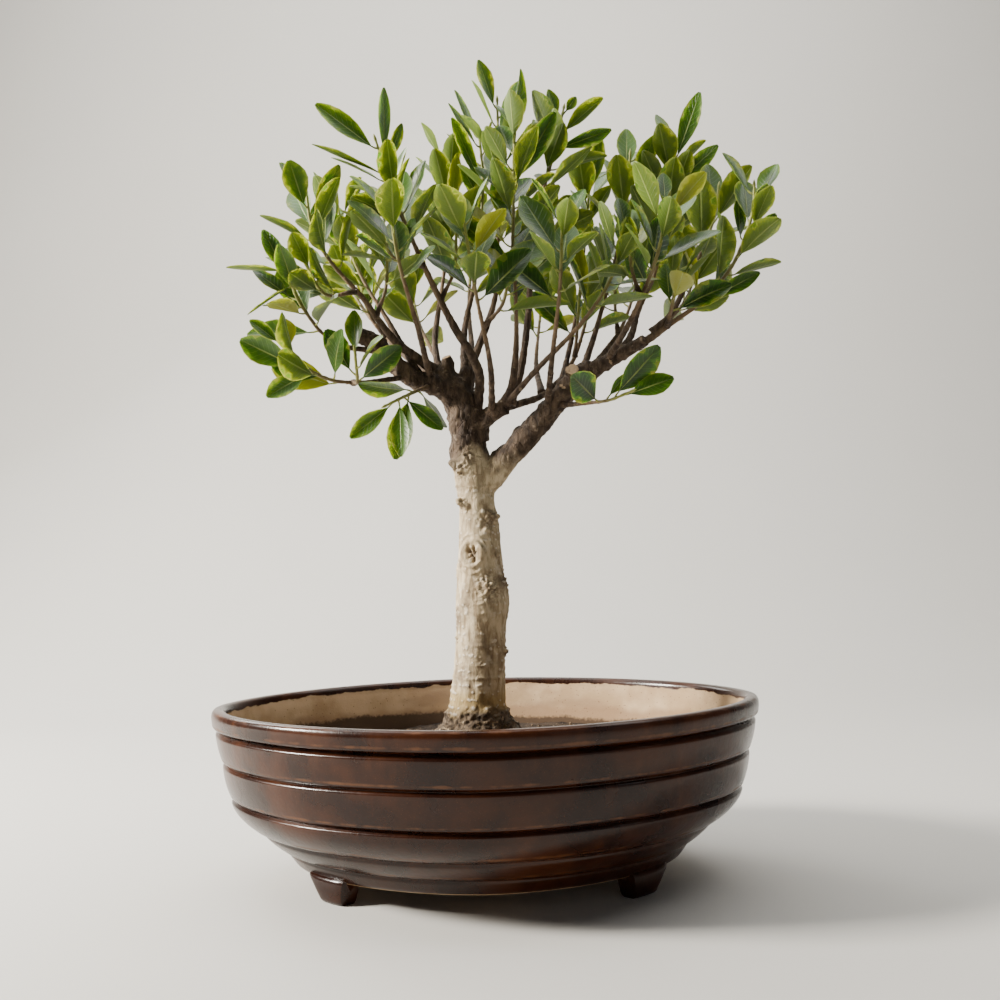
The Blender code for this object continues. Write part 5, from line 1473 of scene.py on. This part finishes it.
def leaf_grids(leaves, foots, rng):
    """Closed blades with their stalks, ring by ring from the stem to the leaf's point.

    Blade: base + (axis t - normal curl t^2 / 2) length + across half v + up (half fold |v| + wave +- skin).
    Stalk: a bar from the stem that turns into the blade's first ring.
    """
    def read(key):
        return np.array([tuple(leaf[key]) for leaf in leaves])[:, None, None]

    def number(key):
        return np.array([leaf[key] for leaf in leaves])[:, None, None]

    base, axis, normal = read("base"), read("axis"), read("normal")
    t = BLADE_STATIONS[None, :, None]
    v = ACROSS[None, None]
    top = TOP[None, None]
    length, curl = number("length"), number("curl")
    across = np.cross(normal, axis)
    curve = (0.5 * curl * t * t)[..., None]
    centre = base + (axis * t[..., None] - normal * curve) * length[..., None]
    up = normal + axis * (curl * t)[..., None]
    up /= np.linalg.norm(up, axis=-1, keepdims=True)
    half = np.maximum(half_width(t) * number("width") / 2, STALK_END_HALF)
    phase = rng.random((len(leaves), 1, 1)) * 6.28
    wave = 0.07 * half * np.sin(9.0 * t + phase + 1.2 * v) * v * v
    camber = -0.10 * half * np.sin(np.pi * np.abs(v))
    thin = 0.13 + 0.10 * (1.0 - t)
    skin = (top - 0.5) * 2.0 * thin * (1.0 - 0.4 * np.abs(v)) - (v == 0) * (top == 0) * 0.30 * (1.0 - 0.7 * t)
    groove = (v == 0) * (top == 1) * -0.12
    lift = half * number("fold") * np.abs(v) + wave + camber + skin + groove
    blade = centre + across * (half * v)[..., None] + up * lift[..., None]
    foot = np.array([tuple(f) for f in foots])[:, None, None]
    turn = np.radians(180.0 - 45.0 * np.arange(8))[None, None]
    share = np.array((0.0, 0.5))[None, :, None]
    run = foot + (base - foot) * share[..., None] - normal * (0.45 * np.sin(np.pi * share))[..., None]
    ring = across * (np.cos(turn) * STALK_RADIUS)[..., None]
    ring = ring + up[:, :1] * (np.sin(turn) * STALK_RADIUS)[..., None]
    stalk = run + ring * (1.15 - 0.3 * share)[..., None]
    points = np.concatenate((stalk, blade), 1)
    place = np.zeros(points.shape)
    place[:, 2:, :, 0] = t
    place[..., 1] = v
    place[..., 2] = top
    return points, place


def make_shoot(name, number, twig, shoot, material):
    """One green shoot: rounded stem with swollen joints, pointed bud, and its leaves."""
    rng = np.random.default_rng(LEAF_SEED + number)
    form = Form()
    wood_end, before = twig["wood"][-1], twig["wood"][-2]
    sunk = wood_end + (before - wood_end).normalized() * STEM_IN_TWIG
    stem = spline([tuple(sunk)] + [tuple(p) for p in twig["green"][1:]], STEM_RING_STEP)
    travelled = np.arange(len(stem)) * STEM_RING_STEP
    share = travelled / travelled.max()
    radius = twig["tip"] * 0.98 * (1.0 - share) + 0.70 * share
    last = np.array(stem[-1][:3])
    tip = np.array(tuple(shoot["end"]))
    bud = [tuple(last + (tip - last) * s) for s in BUD_SHARES]
    bud_radius = 0.95 * np.sin(np.pi * (0.30 + 0.70 * BUD_SHARES)) ** 0.9 + 0.04
    feet, leaves = [], []
    for index, leaf in sorted(shoot["leaves"].items()):
        low, high = shoot["rings"][1 + 2 * index:3 + 2 * index]
        side = shoot["faces"][index]
        corners = (low[side], low[(side + 1) % 3], high[(side + 1) % 3], high[side])
        middle = sum(corners, Vector()) / 4
        axis_point = sum((*low, *high), Vector()) / 6
        feet.append(axis_point.lerp(middle, 0.5))
        leaves.append(leaf)
    if feet:
        points = np.array([p[:3] for p in stem])
        gap = np.linalg.norm(points[None] - np.array([tuple(f) for f in feet])[:, None], axis=-1)
        radius = radius + 0.28 * np.exp(-(gap / 1.6) ** 2).sum(0).clip(0, 1)
    rings = bar([p[:3] for p in stem] + bud, np.concatenate((radius, bud_radius)), 8)
    part = 0.02 + 0.42 * np.concatenate((share, np.full(len(bud), 1.0)))
    tones = np.stack((0.5 + 0.0 * part, 0.2 + 0.0 * part, part), -1)[:, None]
    places = np.broadcast_to(np.array((0.0, 0.5, 0.5)), rings.shape)
    form.add(rings, leaf_place=places, leaf_tone=np.broadcast_to(tones, rings.shape))
    if leaves:
        points, place = leaf_grids(leaves, feet, rng)
        count = len(leaves)
        young = np.array(sorted(shoot["leaves"])) / max(twig["leaves"], 1)
        tone = 0.15 + 0.45 * rng.random(count) + 0.35 * young
        yellow = 0.62 * rng.random(count) ** 1.5 + 0.75 * (rng.random(count) < YELLOW_SHARE)
        tones = np.zeros(points.shape)
        tones[..., 0] = tone[:, None, None]
        tones[..., 1] = yellow[:, None, None]
        tones[:, :, :, 2] = np.concatenate(((0.35, 0.50), np.full(len(BLADE_STATIONS), 1.0)))[None, :, None]
        form.add(points, leaf_place=place, leaf_tone=tones)
    thing = form.write(name, material, sharp=80.0)
    return stand_for(thing, "green_leaf", f"leafy_shoot_{number:02d}")


# ---------------------------------------------------------------- studio

# all of the studio is in metres
FLOOR_FRONT, FLOOR_BACK, FLOOR_SIDE = -3.0, 1.6, 4.0
SWEEP_RADIUS = 0.9
BACKDROP_HEIGHT = 4.0
TREE_MIDDLE, BACKDROP_MIDDLE = (0.0, 0.0, 0.25), (0.0, 1.6, 0.25)
# lights: name, place, what it points at, size, watts, colour
LIGHTS = (
    ("key_light", (-1.45, -0.20, 0.90), TREE_MIDDLE, 0.35, 104.0, (1.0, 0.95, 0.86)),
    ("fill_light", (1.5, -1.5, 0.9), TREE_MIDDLE, 1.4, 1.6, (0.93, 0.97, 1.0)),
    ("top_light", (-0.2, 0.30, 1.7), TREE_MIDDLE, 1.2, 6.0, (1.0, 1.0, 1.0)),
    ("back_light", (-0.9, 1.0, 1.1), TREE_MIDDLE, 0.6, 12.0, (1.0, 0.98, 0.92)),
    ("backdrop_light", (0.0, 0.45, 1.5), BACKDROP_MIDDLE, 1.8, 42.0, (1.0, 0.99, 0.96)),
)
SURROUND = ((0.95, 0.96, 1.0, 1.0), 0.08)    # colour and strength of the light from all round


def make_studio(material):
    """Floor that sweeps up into a backdrop, a key from the left, weak fills, and a light on the backdrop."""
    turn = np.linspace(0.0, np.pi / 2, 24)
    sweep_back = FLOOR_BACK - SWEEP_RADIUS + SWEEP_RADIUS * np.sin(turn)
    depth = np.concatenate(([FLOOR_FRONT, 0.0], sweep_back, [FLOOR_BACK]))
    rise = np.concatenate(([0.0, 0.0], SWEEP_RADIUS - SWEEP_RADIUS * np.cos(turn), [BACKDROP_HEIGHT]))
    wide = np.array((-FLOOR_SIDE, 0.0, FLOOR_SIDE))[None]
    points = np.stack(np.broadcast_arrays(wide, depth[:, None], rise[:, None]), -1)
    rows, columns = points.shape[:2]
    index = np.arange(rows * columns).reshape(rows, columns)
    faces = np.stack((index[:-1, :-1], index[:-1, 1:], index[1:, 1:], index[1:, :-1]), -1).reshape(-1, 4)
    mesh = bpy.data.meshes.new("studio_floor")
    mesh.from_pydata(points.reshape(-1, 3).tolist(), [], faces.tolist())
    show("studio_floor", mesh, material)
    for name, place, aim, size, watts, colour in LIGHTS:
        data = bpy.data.lights.new(name, "AREA")
        data.size, data.energy, data.color = size, watts, colour
        lamp = bpy.data.objects.new(name, data)
        lamp.location = place
        lamp.rotation_euler = (Vector(aim) - Vector(place)).to_track_quat("-Z", "Y").to_euler()
        bpy.context.scene.collection.objects.link(lamp)
    world = bpy.data.worlds.new("studio")
    world.use_nodes = True
    shade = world.node_tree.nodes["Background"]
    shade.inputs["Color"].default_value, shade.inputs["Strength"].default_value = SURROUND
    bpy.context.scene.world = world


def make_camera():
    """Camera low in front of the pot, looking slightly up into the crown."""
    data = bpy.data.cameras.new("camera")
    data.lens = CAMERA_LENS
    data.sensor_width = SENSOR_WIDTH
    data.clip_start, data.clip_end = CAMERA_CLIP
    camera = bpy.data.objects.new("camera", data)
    pitch = Matrix.Rotation(math.radians(CAMERA_PITCH), 4, "X")
    roll = Matrix.Rotation(math.radians(CAMERA_ROLL), 4, "Z")
    camera.matrix_world = Matrix.Translation(CAMERA_PLACE) @ pitch @ roll
    bpy.context.scene.collection.objects.link(camera)
    bpy.context.scene.camera = camera


def main():
    make_camera()
    make_studio(pale_floor())
    make_pot(glaze_and_clay())
    make_screens(screen_plastic())
    make_soil(loose_soil())
    make_litter(dry_litter())
    bark = tree_bark()
    twigs = plan_twigs()
    make_wood(bark)
    make_twigs(twigs, bark)
    leaf = fig_leaf()
    shoots = plan_shoots(twigs, wood_shapes(twigs))
    for number, (twig, shoot) in enumerate(zip(twigs, shoots), start=1):
        make_shoot(f"shoot_with_leaves_{number:02d}", number, twig, shoot, leaf)


main()
